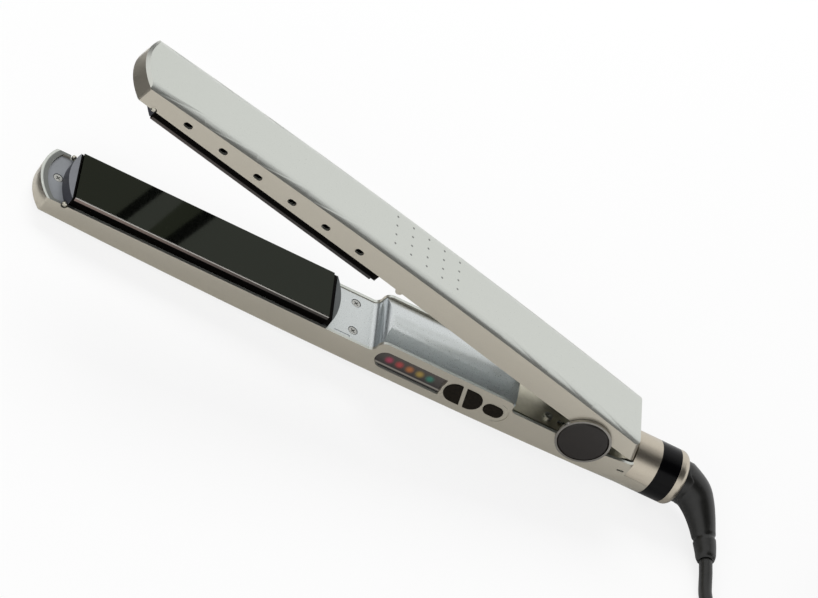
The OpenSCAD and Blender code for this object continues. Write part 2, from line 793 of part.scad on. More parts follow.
// Pan-head screw with a cross recess, driven outward from z
module screw(x, y, z) translate([x, y, z]) difference() {
    union() {
        cylinder(d = screw_head_d, h = screw_head_h, $fn = 48);
        translate([0, 0, screw_head_h]) cylinder(d = screw_d, h = screw_l, $fn = 32);
    }
    for (a = [45, 135]) rotate([0, 0, a]) translate([-screw_head_d * 0.3, -0.25, -1])
        cube([screw_head_d * 0.6, 0.5, 1 + screw_head_h * 0.6]);
}

// Spacer with one straight and one rounded side
module lens_plan(x, l, half, dir) {
    r = (half * half + l * l) / (2 * l);
    intersection() {
        translate([x + dir * (l - r), 0]) circle(r = r, $fn = 240);
        translate([dir > 0 ? x : x - 2 * half, -half]) square([2 * half, 2 * half]);
    }
}

module front_spacer_body() {
    x = -plate_front - front_gap;
    half = plate_w / 2;
    l = front_spacer_l;
    r = (half * half + l * l) / (2 * l);
    difference() {
        intersection() {
            translate([x + r - l, 0, spacer_h]) cylinder(r1 = r, r2 = r + flank_run,
                h = insert_h - spacer_h, $fn = 240);
            translate([x - 2 * half, -half, spacer_h]) cube([2 * half, 2 * half,
                insert_h - spacer_h]);
        }
        for (s = [-1, 1]) translate([x - half, s * (in_half + arm_w / 2 - cover_gap),
            edge_h + arm_w / 2 - edge_lap]) cube([3 * half, arm_w, arm_w], center = true);
    }
}

module rear_spacer_body() difference() {
    outward(spacer_h, cover_h) lens_plan(plate_back + rear_gap, rear_spacer_l, plate_w / 2, 1);
    for (s = [-1, 1]) translate([plate_back, s * (in_half + arm_w / 2 - cover_gap),
        edge_h + arm_w / 2 - edge_lap]) cube([arm_w, arm_w, arm_w], center = true);
}

module lower_plate() color("#1d201d") lower_arm() plate_body();
module upper_plate() color("#1d201d") upper_arm() plate_body();
module lower_heater() color("#c9a25a") lower_arm() heater_body();
module upper_heater() color("#c9a25a") upper_arm() heater_body();
module lower_plate_carrier() color("#2a2724") lower_arm() carrier_body();
module upper_plate_carrier() color("#2a2724") upper_arm() carrier_body();
module lower_tip_insert() color("#8f939c") lower_arm() insert_body();
module upper_tip_insert() color("#8f939c") upper_arm() insert_body();
module lower_front_spacer() color("#8f939c") lower_arm() front_spacer_body();
module upper_front_spacer() color("#8f939c") upper_arm() front_spacer_body();
module lower_rear_spacer() color("#6f7373") lower_arm() rear_spacer_body();
module upper_rear_spacer() color("#6f7373") upper_arm() rear_spacer_body();

// ---------- inner covers ----------

module cover_screw_seats() for (s = [-1, 1]) screw_seat(cover_screw_x, s * cover_screw_y, cover_h);

module lower_inner_cover() color("#9aa3a9") lower_arm() difference() {
    intersection() {
        across(-in_half + cover_gap, in_half - cover_gap) intersection() {
            cover_outline(0, crown_foot_r);
            translate([flat_x, -section_depth]) square([cover_end - flat_x,
                section_depth + cover_h + cover_t]);
        }
        x_bar(crown_r - crown_h, crown_r, flat_x - 1, cover_end + 1);
    }
    intersection() {
        across(-in_half + cover_gap + cover_t, in_half - cover_gap - cover_t)
            cover_outline(cover_t, crown_foot_r);
        x_bar(crown_r - crown_h, crown_r - cover_t, step_x, cover_end - cover_t);
    }
    cover_screw_seats();
    outward(cover_h - 1, cover_h + tab_seam) difference() {
        translate([plate_back + 2 * rear_spacer_l, tab_y - 1]) square(tab_size + [0, 1]);
        translate([plate_back, tab_y - 1]) square([2 * rear_spacer_l + tab_size[0] - tab_seam,
            tab_size[1] + 1 - tab_seam]);
    }
    // Room for the lens, the buttons and the board behind the near wall
    translate([window_x - lens_lip - clear, -arm_w, board_z[0] - clear])
        cube([cover_end, arm_w + wall_in + 3, section_depth]);
    translate([board_x[0] - clear, board_y - clear, board_z[0] - clear])
        cube([cover_end, board_t + 2 * clear, section_depth]);
}

// Side outline of the lower cover, moved in by t
module cover_outline(t, foot) {
    r = crown_h + cover_h - foot;
    if (t == 0) translate([flat_x - 1, cover_h]) square([step_x + foot - flat_x + 1, section_depth]);
    if (t == 0) difference() {
        translate([step_x, cover_h - foot]) square(foot);
        translate([step_x, cover_h - foot]) circle(r = foot);
    }
    translate([step_x + foot + t, -crown_h + r]) square([cover_end - step_x - foot - 2 * t,
        section_depth]);
    translate([step_x + foot + r, -crown_h + t]) square([cover_end - step_x - foot - r - t,
        section_depth]);
    translate([step_x + foot + r, -crown_h + r]) circle(r = r - t);
}

module upper_inner_cover() color("#9aa3a9") upper_arm() difference() {
    translate([flat_x + cover_gap, -in_half + cover_gap, cover_h])
        cube([cover_end - flat_x - cover_gap, 2 * (in_half - cover_gap), cover_t]);
    cover_screw_seats();
    for (s = [-1, 1]) screw_seat(upper_cover_screw_x, s * cover_screw_y, cover_h);
}

module arm_screws(xs) {
    screw(insert_screw_x, 0, insert_h + screw_sink);
    for (x = xs, s = [-1, 1]) screw(x, s * cover_screw_y, cover_h + screw_sink);
}
module lower_screws() color("#b0b2b0") lower_arm() arm_screws([cover_screw_x]);
module upper_screws() color("#b0b2b0") upper_arm() arm_screws([cover_screw_x,
    upper_cover_screw_x]);

// ---------- hinge ----------

module hinge_frame() color("#8d8f86") lower_arm() difference() {
    union() {
        outward(deck_h, deck_h + frame_t) polygon([[deck_x[0], -ear_w / 2],
            [deck_x[1] - deck_corner[0], -ear_w / 2], [deck_x[1], deck_corner[1] - ear_w / 2],
            [deck_x[1], ear_w / 2 - deck_corner[1]], [deck_x[1] - deck_corner[0], ear_w / 2],
            [deck_x[0], ear_w / 2]]);
        for (s = [-1, 1]) across(s > 0 ? ear_in : -ear_w / 2, s > 0 ? ear_w / 2 : -ear_in) {
            translate([hinge_x, 0]) circle(d = ear_d);
            translate([hinge_x - ear_d / 2, 0]) square([ear_d, deck_h + frame_t]);
        }
    }
    y_bar(hinge_x, 0, pin_d + 0.04, -ear_w, ear_w);
    for (s = [-1, 1], p = deck_screws) translate([p[0], s * p[1], 0])
        cylinder(r = screw_d / 2 + screw_clear, h = section_depth, $fn = 32);
}

module hinge_frame_screws() color("#b0b2b0") lower_arm() for (s = [-1, 1], p = deck_screws)
    screw(p[0], s * p[1], deck_h - screw_head_h);

module hinge_pin() color("#c8c8c8") lower_arm() y_bar(hinge_x, 0, pin_d, -ear_w / 2, ear_w / 2);

module hinge_caps() color("#191817") lower_arm() for (s = [0, 1]) mirror([0, s, 0]) {
    y0 = ear_w / 2;
    y1 = half_w + clear;
    y_bar(hinge_x, 0, hub_d, y0, y1 + 0.1);
    y_bar(hinge_x, 0, cap_d, y1 + 0.1, y1 + ring_t + cap_rise - cap_bevel);
    translate([hinge_x, y1 + ring_t + cap_rise - cap_bevel, 0]) rotate([-90, 0, 0])
        cylinder(d1 = cap_d, d2 = cap_d - 2 * cap_bevel, h = cap_bevel);
}

module hinge_rings() color("#d8d8d6") lower_arm() for (s = [0, 1]) mirror([0, s, 0]) {
    y1 = half_w + clear;
    difference() {
        y_bar(hinge_x, 0, cap_d + 0.1 + 2 * ring_w, y1, y1 + ring_t);
        y_bar(hinge_x, 0, cap_d + 0.1, y1 - 1, y1 + ring_t + 1);
    }
}

// Torsion spring on the pin, one coil on each side of the knuckle
function spring_path(s) = concat(
    [[hinge_x - spring_legs[0], s * spring_y, deck_h - spring_wire * 0.6]],
    [for (i = [0 : 16 * spring_turns]) let(a = 90 + 360 * i / 16)
        [hinge_x + spring_r * cos(a), s * (spring_y + i / 16 * spring_pitch),
         spring_r * sin(a)]],
    [[hinge_x - spring_legs[1], s * (spring_y + spring_turns * spring_pitch), -spring_r]]);
module opening_spring() color("#9a9a98") lower_arm() for (s = [-1, 1]) {
    p = spring_path(s);
    sweep(p, [for (q = p) spring_wire / 2], [0, 1, 0], 8);
}

module upper_hinge_knuckle() color("#c3c5c0") upper_arm() difference() {
    across(-knuckle_w / 2, knuckle_w / 2) {
        translate([hinge_x, 0]) circle(d = eye_d);
        translate([hinge_x, 0]) translate(knuckle_sole[0]) circle(r = nose_r);
        polygon(concat([for (p = knuckle_sole) p + [hinge_x, 0]],
            [[hinge_x + eye_d / 2, knuckle_h - knuckle_plate_t],
             [knuckle_end, knuckle_h - knuckle_plate_t], [knuckle_end, knuckle_h],
             [hinge_x - nose_l, knuckle_h]]));
    }
    y_bar(hinge_x, 0, pin_d + 2 * pin_clear, -arm_w, arm_w);
    for (x = knuckle_screw_x) {
        translate([x, 0, -section_depth / 2]) cylinder(r = screw_head_d / 2 + 0.2,
            h = section_depth / 2 + knuckle_h - knuckle_plate_t);
        translate([x, 0, 0]) cylinder(r = screw_d / 2 + screw_clear, h = section_depth, $fn = 32);
    }
}

module knuckle_screws() color("#b0b2b0") upper_arm() for (x = knuckle_screw_x)
    screw(x, 0, knuckle_h - knuckle_plate_t - screw_head_h);

// ---------- controls ----------

module light_row(grow) for (i = [0 : light_n - 1])
    translate([window_x + light_x + i * light_pitch, window_z])
    square([light_size[0] + 2 * grow, light_size[1] + 2 * grow], center = true);

module display_lens() color("#101214") lower_arm() across(wall_in, lens_back) difference() {
    intersection() {
        translate([window_x - lens_lip, board_z[0]]) square([window_l + lens_lip + 0.2,
            window_h + lens_lip + 0.3]);
        union() {
            translate([window_x + window_h / 2, window_z]) circle(d = window_h + 2 * lens_lip);
            translate([window_x + window_h / 2, 0]) square([window_l, 2 * window_z]);
        }
    }
    light_row(0.05);
}

module display_lights() color("#c8506a") lower_arm() across(wall_in, lens_back) light_row(0);

// One button: the cap through the wall and a flange behind it
module button_body() {
    across(-half_w - button_rise, wall_in + 0.2) children(0);
    across(wall_in + clear / 3, wall_in + clear / 3 + flange_t) children(1);
}

module half_plane(dir) translate([rib_x, button_z]) rotate(-rib_slant)
    translate([dir > 0 ? rib_w / 2 : -4 * double_h - rib_w / 2, -2 * double_h])
    square([4 * double_h, 4 * double_h]);
module near_flange(dir) intersection() {
    union() {
        double_outline(0);
        translate([double_x - flange_w, button_top_z]) square([double_l + 2 * flange_w, double_h]);
    }
    half_plane(dir);
}

module minus_button() color("#231d19") lower_arm() button_body() {
    intersection() { double_outline(0); translate([-button_clear, 0]) half_plane(-1); }
    translate([-button_clear, 0]) near_flange(-1);
}
module plus_button() color("#231d19") lower_arm() button_body() {
    intersection() { double_outline(0); translate([button_clear, 0]) half_plane(1); }
    translate([button_clear, 0]) near_flange(1);
}
module power_button() color("#231d19") lower_arm() button_body() {
    power_outline(0);
    power_outline(flange_w);
}

switch_x = [double_x + double_l / 4, double_x + double_l * 3 / 4, power_x];
module button_switches() color("#3a3a3a") lower_arm() for (x = switch_x) {
    tip = wall_in + clear / 3 + flange_t + button_travel + 0.05;
    translate([x - switch_w / 2, tip + plunger_l, button_z - switch_w / 2])
        cube([switch_w, board_y - tip - plunger_l, switch_w]);
    y_bar(x, button_z, plunger_d, tip, tip + plunger_l + 0.1);
}

module control_board() color("#2f5a3c") lower_arm() translate([board_x[0], board_y, board_z[0]])
    cube([board_x[1] - board_x[0], board_t, board_z[1] - board_z[0]]);

// ---------- rear end ----------

module collar() color("#c4c1b9") lower_arm() difference() {
    x_bar(rear_drop, rear_r, collar_x, collar_end);
    x_bar(rear_drop, rear_in, collar_x + rear_wall_t, collar_end + 1);
    translate([collar_x - 1, -arm_w, rear_drop - cover_gap]) cube([collar_l + 2, 2 * arm_w, arm_w]);
}

module black_ring() color("#0e0e0e") lower_arm() difference() {
    union() {
        x_bar(rear_drop, rear_r, collar_end, black_end);
        x_bar(rear_drop, rear_in - cover_gap, collar_end - spigot_l, collar_end + 1);
    }
    x_bar(rear_drop, core_d / 2 + clear, collar_end + bulkhead_t, black_end + 1);
    x_bar(rear_drop, neck_d / 2 + pin_clear, 0, black_end);
    x_bar(rear_drop, rear_in - rear_t, collar_end - spigot_l - 1, collar_end);
}

module end_ring() color("#c9c7c2") lower_arm() difference() {
    translate([black_end, 0, rear_drop]) rotate([0, 90, 0]) rotate_extrude($fn = 96) {
        square([rear_r - end_round, end_l]);
        square([rear_r, end_l - end_round]);
        translate([rear_r - end_round, end_l - end_round]) intersection() {
            circle(r = end_round, $fn = 48);
            square(end_round);
        }
    }
    x_bar(rear_drop, boot_d / 2 + clear, black_end - 1, rear_end + 1);
}

module swivel_core() color("#2b2b2b") lower_arm() {
    x_bar(rear_drop, core_d / 2, collar_end + bulkhead_t + clear, black_end - clear);
    difference() {
        x_bar(rear_drop, neck_d / 2, neck_end, collar_end + bulkhead_t + clear + 0.5);
        difference() {
            x_bar(rear_drop, neck_d, clip_x - 0.05, clip_x + clip_t + 0.05);
            x_bar(rear_drop, neck_d / 2 - groove_depth, neck_end, collar_end);
        }
    }
}

module swivel_clip() color("#a8a8a8") lower_arm() difference() {
    x_bar(rear_drop, neck_d / 2 + clip_wall, clip_x, clip_x + clip_t);
    x_bar(rear_drop, neck_d / 2 - groove_depth + 0.05, neck_end, collar_end);
    translate([neck_end, -0.35 * neck_d, rear_drop]) cube([4, 0.7 * neck_d, arm_w]);
}

// ---------- cord ----------

boot_start = [rested([black_end - clear, 0, -rear_drop]), rested([rear_end + 1.2, 0, -rear_drop]),
    rested([rear_end + 2.6, 0, -rear_drop])];
boot_path = concat(boot_start, boot_route);
boot_r = concat([boot_d / 2, boot_d / 2, boot_d / 2 - 0.3], boot_sizes / 2);
module strain_relief() color("#1c1c1c") sweep(boot_path, boot_r, [0, 0, 1], 24);

// The tube starts on the strain relief's end face
boot_tip = boot_route[len(boot_route) - 1];
cord_path = concat([boot_tip], cord_route);
module cord_tube() color("#181818") sweep(cord_path, [for (p = cord_path) cord_d / 2],
    [0, 0, 1], 10);

module coil_ring() rotate_extrude($fn = 120) translate([coil_r - coil_w / 2, 0])
    square([coil_w, coil_h]);
module cord_coil() color("#181818") translate([coil_at[0], coil_at[1], 0]) difference() {
    coil_ring();
    translate([-tie_w / 2 - tie_slack, coil_r - coil_w, -1])
        cube([tie_w + 2 * tie_slack, 2 * coil_w, 1 + tie_t + tie_slack]);
}
module cord_tie() color("#222222") translate([coil_at[0], coil_at[1], 0]) {
    room = [tie_w, coil_w + 8 * tie_slack, coil_h + tie_slack];
    translate([-tie_w / 2, coil_r - coil_w / 2 - 7 * tie_slack - tie_t, 0]) difference() {
        cube(room + [0, 2 * tie_t, tie_t]);
        translate([-1, tie_t, tie_t]) cube(room + [2, 0, 0]);
    }
}

// Plug lying on the coil, its pins toward +X
plug_z = coil_h + plug_h / 2 + plug_gap;
module plug() color("#161616") translate([plug_at[0], plug_at[1], plug_z]) rotate([0, 90, 0]) {
    cylinder(d1 = plug_neck_d[0], d2 = plug_neck_d[1], h = plug_tail, $fn = 48);
    translate([0, 0, plug_tail - 1]) rotate([0, 0, 90]) linear_extrude(plug_l - plug_tail + 1)
        stadium(plug_w, plug_h);
}
module plug_pins() color("#c9c2a8") for (s = [-1, 1])
    translate([plug_at[0] + plug_l, plug_at[1] + s * plug_pitch / 2, plug_z]) rotate([0, 90, 0]) {
        cylinder(d = plug_pin_d, h = plug_pin_l - plug_pin_d / 2, $fn = 48);
        translate([0, 0, plug_pin_l - plug_pin_d / 2]) sphere(d = plug_pin_d, $fn = 48);
    }

lower_shell();
lower_inner_cover();
lower_tip_insert();
lower_front_spacer();
lower_rear_spacer();
lower_plate();
lower_heater();
lower_plate_carrier();
lower_screws();
hinge_frame();
hinge_frame_screws();
hinge_pin();
hinge_caps();
hinge_rings();
opening_spring();
display_lens();
display_lights();
minus_button();
plus_button();
power_button();
button_switches();
control_board();
collar();
black_ring();
end_ring();
swivel_core();
swivel_clip();
strain_relief();
cord_tube();
cord_coil();
cord_tie();
plug();
plug_pins();
upper_shell();
upper_inner_cover();
upper_tip_insert();
upper_front_spacer();
upper_rear_spacer();
upper_plate();
upper_heater();
upper_plate_carrier();
upper_screws();
upper_hinge_knuckle();
knuckle_screws();
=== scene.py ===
# %% [markdown]
# A hinged hair iron with two smooth plates. The exact solids of the model are loaded as
# a fixed frame. This script gives each of them its finish, replaces the plain cord with
# a real one, and adds the small trim that is too fine for the solids.
#
# Sizes are in millimetres where a name or comment doesn't say otherwise, and MM turns
# them to Blender's metres.

import json
import math

import bmesh
import bpy
from mathutils import Matrix, Vector


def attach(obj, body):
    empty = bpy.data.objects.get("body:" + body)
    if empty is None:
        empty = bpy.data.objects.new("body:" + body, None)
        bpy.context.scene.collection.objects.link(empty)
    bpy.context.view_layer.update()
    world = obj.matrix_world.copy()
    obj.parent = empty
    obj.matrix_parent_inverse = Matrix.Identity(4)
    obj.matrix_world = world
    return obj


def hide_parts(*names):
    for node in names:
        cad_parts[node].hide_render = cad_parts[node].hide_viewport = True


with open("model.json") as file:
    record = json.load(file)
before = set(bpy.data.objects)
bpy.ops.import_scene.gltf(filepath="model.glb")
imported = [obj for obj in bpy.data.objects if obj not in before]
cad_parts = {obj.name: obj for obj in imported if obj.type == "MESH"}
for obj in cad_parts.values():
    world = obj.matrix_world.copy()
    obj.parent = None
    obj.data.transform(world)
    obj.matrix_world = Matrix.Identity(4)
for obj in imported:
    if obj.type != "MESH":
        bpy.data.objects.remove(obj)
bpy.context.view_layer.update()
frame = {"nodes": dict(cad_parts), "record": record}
nodes = frame["nodes"]
MM = 0.001

# %% [markdown]
# Every size below is in millimetres on the arms. Both arms share one frame: X from the
# highest point of the back toward the cord, Y across, Z outward from the mid plane
# between the plates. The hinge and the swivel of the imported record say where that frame
# lies, so nothing is measured twice.

# %% The arms' own frames
joints = {joint["name"]: joint for joint in frame["record"]["behaviour"]["joints"]}
HINGE_X = 102.2
HINGE = Vector(joints["arm_hinge"]["pos_m"])
OPEN_ANGLE = math.radians(-joints["arm_hinge"]["range_deg"][0])
ALONG = Vector(joints["cord_swivel"]["axis"]).normalized()
DOWN = Vector((ALONG.z, 0, -ALONG.x))
ALONG_UP = Matrix.Rotation(OPEN_ANGLE, 3, "Y") @ ALONG
OUT_UP = Matrix.Rotation(OPEN_ANGLE, 3, "Y") @ -DOWN


def lower(x, y, z):
    """Point of the lower arm, in metres of the row frame."""
    return HINGE + MM * ((x - HINGE_X) * ALONG + z * DOWN) + Vector((0, MM * y, 0))


def upper(x, y, z):
    """Point of the upper arm, in metres of the row frame."""
    return HINGE + MM * ((x - HINGE_X) * ALONG_UP + z * OUT_UP) + Vector((0, MM * y, 0))


ARMS = {"lower_arm": lower, "upper_arm": upper}
LOWER_TIP_X = -159.5
print("lower tip", [round(c, 4) for c in lower(LOWER_TIP_X, 0, 0)])

# %% [markdown]
# The camera is a long lens far away, as for a catalogue: 1.55 m off, so that the two
# arms keep almost the same scale from tip to cord. A short lens close by would show the
# same width, but would swell the tips.

# %% Camera
camera_data = bpy.data.cameras.new("catalogue_camera")
camera_data.lens = 160.6
camera_data.sensor_width = 36
camera_data.clip_start = 0.05
camera = bpy.data.objects.new("catalogue_camera", camera_data)
camera.location = (-0.37024, -1.13165, 0.97022)
camera.rotation_euler = [math.radians(angle) for angle in (44.649, -31.816, 4.904)]
bpy.context.scene.collection.objects.link(camera)
bpy.context.scene.camera = camera
IRON_MIDDLE = Vector((0.11, 0, 0.03))
print("camera distance", round((camera.location - IRON_MIDDLE).length, 3))

# %% [markdown]
# Small helpers. A smooth line through a few points is a Catmull-Rom curve, which passes
# through every point. A tube is a ring of points carried along such a line. Blender's
# curves could make both, but a mesh has a true box and its thickness can change anywhere.


# %% Helpers for meshes
def smooth_line(points, steps):
    """Points of a Catmull-Rom curve through the given ones, each a list of numbers."""
    ends = [[2 * a - b for a, b in zip(points[0], points[1])]] + [list(p) for p in points]
    ends.append([2 * a - b for a, b in zip(points[-1], points[-2])])
    line = []
    for i in range(1, len(ends) - 2):
        for k in range(steps):
            t = k / steps
            line.append([0.5 * (2 * b + (c - a) * t + (2 * a - 5 * b + 4 * c - d) * t * t
                                + (3 * b - a - 3 * c + d) * t ** 3)
                         for a, b, c, d in zip(*ends[i - 1:i + 3])])
    line.append(list(points[-1]))
    return line


def new_piece(name, mesh, body, smooth=True):
    """Links a mesh as a piece that rides on a body."""
    piece = bpy.data.objects.new(name, mesh)
    bpy.context.scene.collection.objects.link(piece)
    if smooth:
        mesh.shade_smooth()
    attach(piece, body)
    return piece


def mesh_of(name, build):
    """A mesh made by a function that fills a bmesh."""
    made = bmesh.new()
    build(made)
    bmesh.ops.recalc_face_normals(made, faces=made.faces)
    mesh = bpy.data.meshes.new(name)
    made.to_mesh(mesh)
    made.free()
    return mesh


def bridge_rings(made, rings, closed=False):
    """Joins rings of vertices with quads, and closes the ends unless the tube is a loop."""
    pairs = list(zip(rings, rings[1:])) + ([(rings[-1], rings[0])] if closed else [])
    for one, other in pairs:
        for k in range(len(one)):
            n = (k + 1) % len(one)
            made.faces.new((one[k], one[n], other[n], other[k]))
    if not closed:
        made.faces.new(rings[0][::-1])
        made.faces.new(rings[-1])


def tube(name, line, sides):
    """Round tube along points (x, y, z, radius), in metres."""
    def build(made):
        rings = []
        for i, point in enumerate(line):
            here = Vector(point[:3])
            before = Vector(line[max(i - 1, 0)][:3])
            after = Vector(line[min(i + 1, len(line) - 1)][:3])
            side = (after - before).cross(Vector((0, 0, 1))).normalized()
            rise = side.cross((after - before).normalized())
            turn = [math.tau * k / sides for k in range(sides)]
            rings.append([made.verts.new(here + point[3] * (math.cos(a) * side + math.sin(a) * rise))
                          for a in turn])
        bridge_rings(made, rings)
    return mesh_of(name, build)


print("a smooth line through 3 points", smooth_line([[0], [1], [4]], 2))

# %% [markdown]
# The mains lead is 6 mm thick and 2.4 m long. It leaves the strain relief, drops to the
# table and runs to a neat coil, three turns abreast in four layers. A simulation could
# lay it, but a route by rule gives the length to the millimetre. Every step to the next
# turn or layer takes a third of a turn, at a place where nothing beside it steps, so
# turns lie side by side and never in each other. Its end rises to the plug on the coil.

# %% Lead and coil
CORD_D = 6.0
CORD_SIDES = 24
COIL_AT = (403.0, -38.0)
COIL_MIDDLE_R = 36.0
ABREAST = 3
LAYERS = 4
STEPS_PER_TURN = 24
RISE_STEPS = 10
STRAP_T = 0.5
# From the strain relief down to the table and on to the coil's outermost turn
ROUTE = [(289.4, -31, 5.4), (289.8, -34.5, 4.9), (290.2, -38, 4.4), (290.6, -43, 3.6),
         (291, -48, 3.1), (292.4, -54, 3), (295.2, -60.5, 3), (299.3, -66.3, 3),
         (304.5, -71.2, 3), (310.7, -75.2, 3), (317.6, -78, 3), (325, -79.5, 3),
         (334, -80, 3), (346, -80, 3), (360, -80, 3), (376, -80, 3), (396, -80, 3)]
# After how many turns the lead steps in, steps out and climbs to the next layer
STEPS_IN = (2 / 3, 5 / 3, 16 / 3, 19 / 3)
STEPS_OUT = (3, 4, 23 / 3, 26 / 3)
CLIMBS = (7 / 3, 14 / 3, 7)
END_TURN = 9.75
END_R = 26.0
PLUG_H = 13.7
PLUG_W = 26.0
PLUG_L = 36.0
PLUG_GAP = 0.3
PLUG_X = COIL_AT[0] - 16
PLUG_Y = COIL_AT[1] - END_R
PLUG_Z = LAYERS * CORD_D + PLUG_H / 2 + PLUG_GAP


def ease(t):
    """0 to 1, with level ends."""
    t = min(max(t, 0), 1)
    return t * t * (3 - 2 * t)


def coil_point(turn):
    """Point of the coil after so many turns, from its outermost turn on the table."""
    steps = sum(ease(3 * (turn - n)) for n in STEPS_OUT) - sum(ease(3 * (turn - n)) for n in STEPS_IN)
    radius = COIL_MIDDLE_R + CORD_D * ((ABREAST - 1) / 2 + steps)
    height = CORD_D * (0.5 + sum(ease(3 * (turn - n)) for n in CLIMBS)) + STRAP_T * ease(4 * turn)
    angle = math.tau * (turn - 0.25)
    return [COIL_AT[0] + radius * math.cos(angle), COIL_AT[1] + radius * math.sin(angle), height]


coil = [coil_point(i / STEPS_PER_TURN) for i in range(round(END_TURN * STEPS_PER_TURN) + 1)]
coil += [[PLUG_X - END_R * math.cos(a), COIL_AT[1] - END_R * math.sin(a), coil[-1][2]]
         for a in (math.radians(15 * k) for k in range(1, 7))]
for i in range(RISE_STEPS):
    coil[i - RISE_STEPS][2] += (PLUG_Z - coil[i - RISE_STEPS][2]) * ease((i + 1) / RISE_STEPS)
lead_points = smooth_line(ROUTE, 3) + coil + [[PLUG_X + 1, PLUG_Y, PLUG_Z]]
for point in lead_points:
    point[1] = max(point[1], ROUTE[-1][1])
lead_line = [[c * MM for c in point] + [CORD_D / 2 * MM] for point in lead_points]
lead = new_piece("mains_lead", tube("mains_lead", lead_line, CORD_SIDES), "cord_end")
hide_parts("cord_tube", "cord_coil")

# %% [markdown]
# The strain relief is an elbow of soft PVC, moulded round the lead so that it can't kink
# at the iron. It starts on the swivel, bends down and to the side and thins toward the
# lead, with a groove before its end collar. One tube whose radius changes along its line
# makes all of that. Turned rings and a bent cylinder would show seams.

# %% Strain relief
SWIVEL_Z = 10.9
BOOT_STEPS = 8
BOOT_SIDES = 40
GROOVE = (1.5, 1.8)
GROOVE_DEPTH = 0.5
END_ROUND = 0.3
# Place along the swivel's axis and radius, then free points with their radius
BOOT_START = [(151.7, 9.8), (158.2, 9.8), (159.6, 9.5)]
BOOT = [(276.5, -2.4, 12.6, 8.7), (280.5, -6, 11, 7.7), (284, -11.5, 9, 6.5), (286.8, -18, 7, 5.5),
        (288.6, -25, 6, 4.9), (289.4, -31, 5.4, 4.4)]
boot_line = [[*lower(x, 0, SWIVEL_Z), r * MM] for x, r in BOOT_START]
boot_line += [[c * MM for c in point] for point in BOOT]
boot_fine = smooth_line(boot_line, BOOT_STEPS)
for i, point in enumerate(boot_fine):
    left = (len(boot_fine) - 1 - i) / BOOT_STEPS
    if GROOVE[0] < left < GROOVE[1]:
        point[3] -= GROOVE_DEPTH * MM
    if left < END_ROUND:
        point[3] -= GROOVE_DEPTH * MM * (1 - left / END_ROUND)
boot = new_piece("strain_relief_elbow", tube("strain_relief_elbow", boot_fine, BOOT_SIDES), "cord_end")
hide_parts("strain_relief")
print("strain relief rings", len(boot_fine))

# %% [markdown]
# A flat strap holds the coil together. It is a loop with rounded corners round the
# coil's section. A ring of boxes would be quicker, but its corners would stand off.


# %% Strap
STRAP_CORNER = 2.2
STRAP_ROOM = 0.05
# Across the strap: place and height, with softened long edges
STRAP_PROFILE = ((-4, 0), (-4, 0.4), (-3.6, STRAP_T), (3.6, STRAP_T), (4, 0.4), (4, 0))


def strap(made):
    """Flat strap round the coil's section, with rounded corners."""
    width = ABREAST * CORD_D / 2 + STRAP_ROOM
    height = LAYERS * CORD_D / 2
    middle_y = COIL_AT[1] + COIL_MIDDLE_R
    middle_z = height + STRAP_T
    path = []
    for quarter, (sy, sz) in enumerate(((1, 1), (-1, 1), (-1, -1), (1, -1))):
        for k in range(7):
            angle = math.radians(90 * quarter + 15 * k)
            path.append((middle_y + sy * (width - STRAP_CORNER) + STRAP_CORNER * math.cos(angle),
                         middle_z + sz * (height - STRAP_CORNER) + STRAP_CORNER * math.sin(angle)))
    rings = []
    for y, z in path:
        out = Vector((0, y - middle_y, z - middle_z)).normalized()
        rings.append([made.verts.new(MM * (Vector((COIL_AT[0] + dx, y, z)) + rise * out))
                      for dx, rise in STRAP_PROFILE])
    bridge_rings(made, rings, closed=True)


tie = new_piece("coil_strap", mesh_of("coil_strap", strap), "cord_end")
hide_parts("cord_tie")
print("strap width", STRAP_PROFILE[-1][0] - STRAP_PROFILE[0][0])

# %% [markdown]
# The mains plug is moulded on the lead in soft PVC: a ribbed tail that bends with the
# lead, shoulders to pull on, and a flat body. It is lofted through rounded outlines. A
# box with bevels would miss how the tail grows out of the body.


# %% Plug
PLUG_SIDES = 48
TAIL_RIBS = 4
RIB_PITCH = 2.2
# Distance from the tail's end, width and height
PLUG_FORM = ((10.5, 10.4, 10.2), (12, 12.5, 11.3), (13.5, 17, 12.6), (15, 21.5, 13.3), (17, 24.6, 13.65),
             (20, 25.6, PLUG_H), (24, PLUG_W, PLUG_H), (34.8, PLUG_W, PLUG_H), (35.5, 25.7, 13.4),
             (35.85, 25.1, 12.8), (PLUG_L, 24.2, 11.9))


def plug_section(x, width, height):
    """Rounded outline across the plug at x, as points."""
    half = height / 2
    flat = (width - height) / 2
    ring = []
    for k in range(PLUG_SIDES):
        a = math.tau * (k + 0.5) / PLUG_SIDES
        ring.append(Vector((x, PLUG_Y + math.copysign(flat, math.cos(a)) + half * math.cos(a),
                            PLUG_Z + half * math.sin(a))) * MM)
    return ring


def plug_body(made):
    """Moulded plug: a ribbed tail, shoulders and a body with a soft edge at the pins."""
    stations = []
    for k in range(TAIL_RIBS):
        x = PLUG_X + RIB_PITCH * k
        d = 7.6 + 0.7 * k
        stations += [(x, d, d), (x + 1.3, d, d), (x + 1.31, d - 1, d - 1), (x + 2.19, d - 1, d - 1)]
    stations += [(PLUG_X + t, w, h) for t, w, h in PLUG_FORM]
    rings = [[made.verts.new(p) for p in plug_section(*station)] for station in stations]
    bridge_rings(made, rings)


plug = new_piece("two_pin_plug", mesh_of("two_pin_plug", plug_body), "cord_end")
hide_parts("plug")
print("plug", len(PLUG_FORM) + 4 * TAIL_RIBS, "outlines")

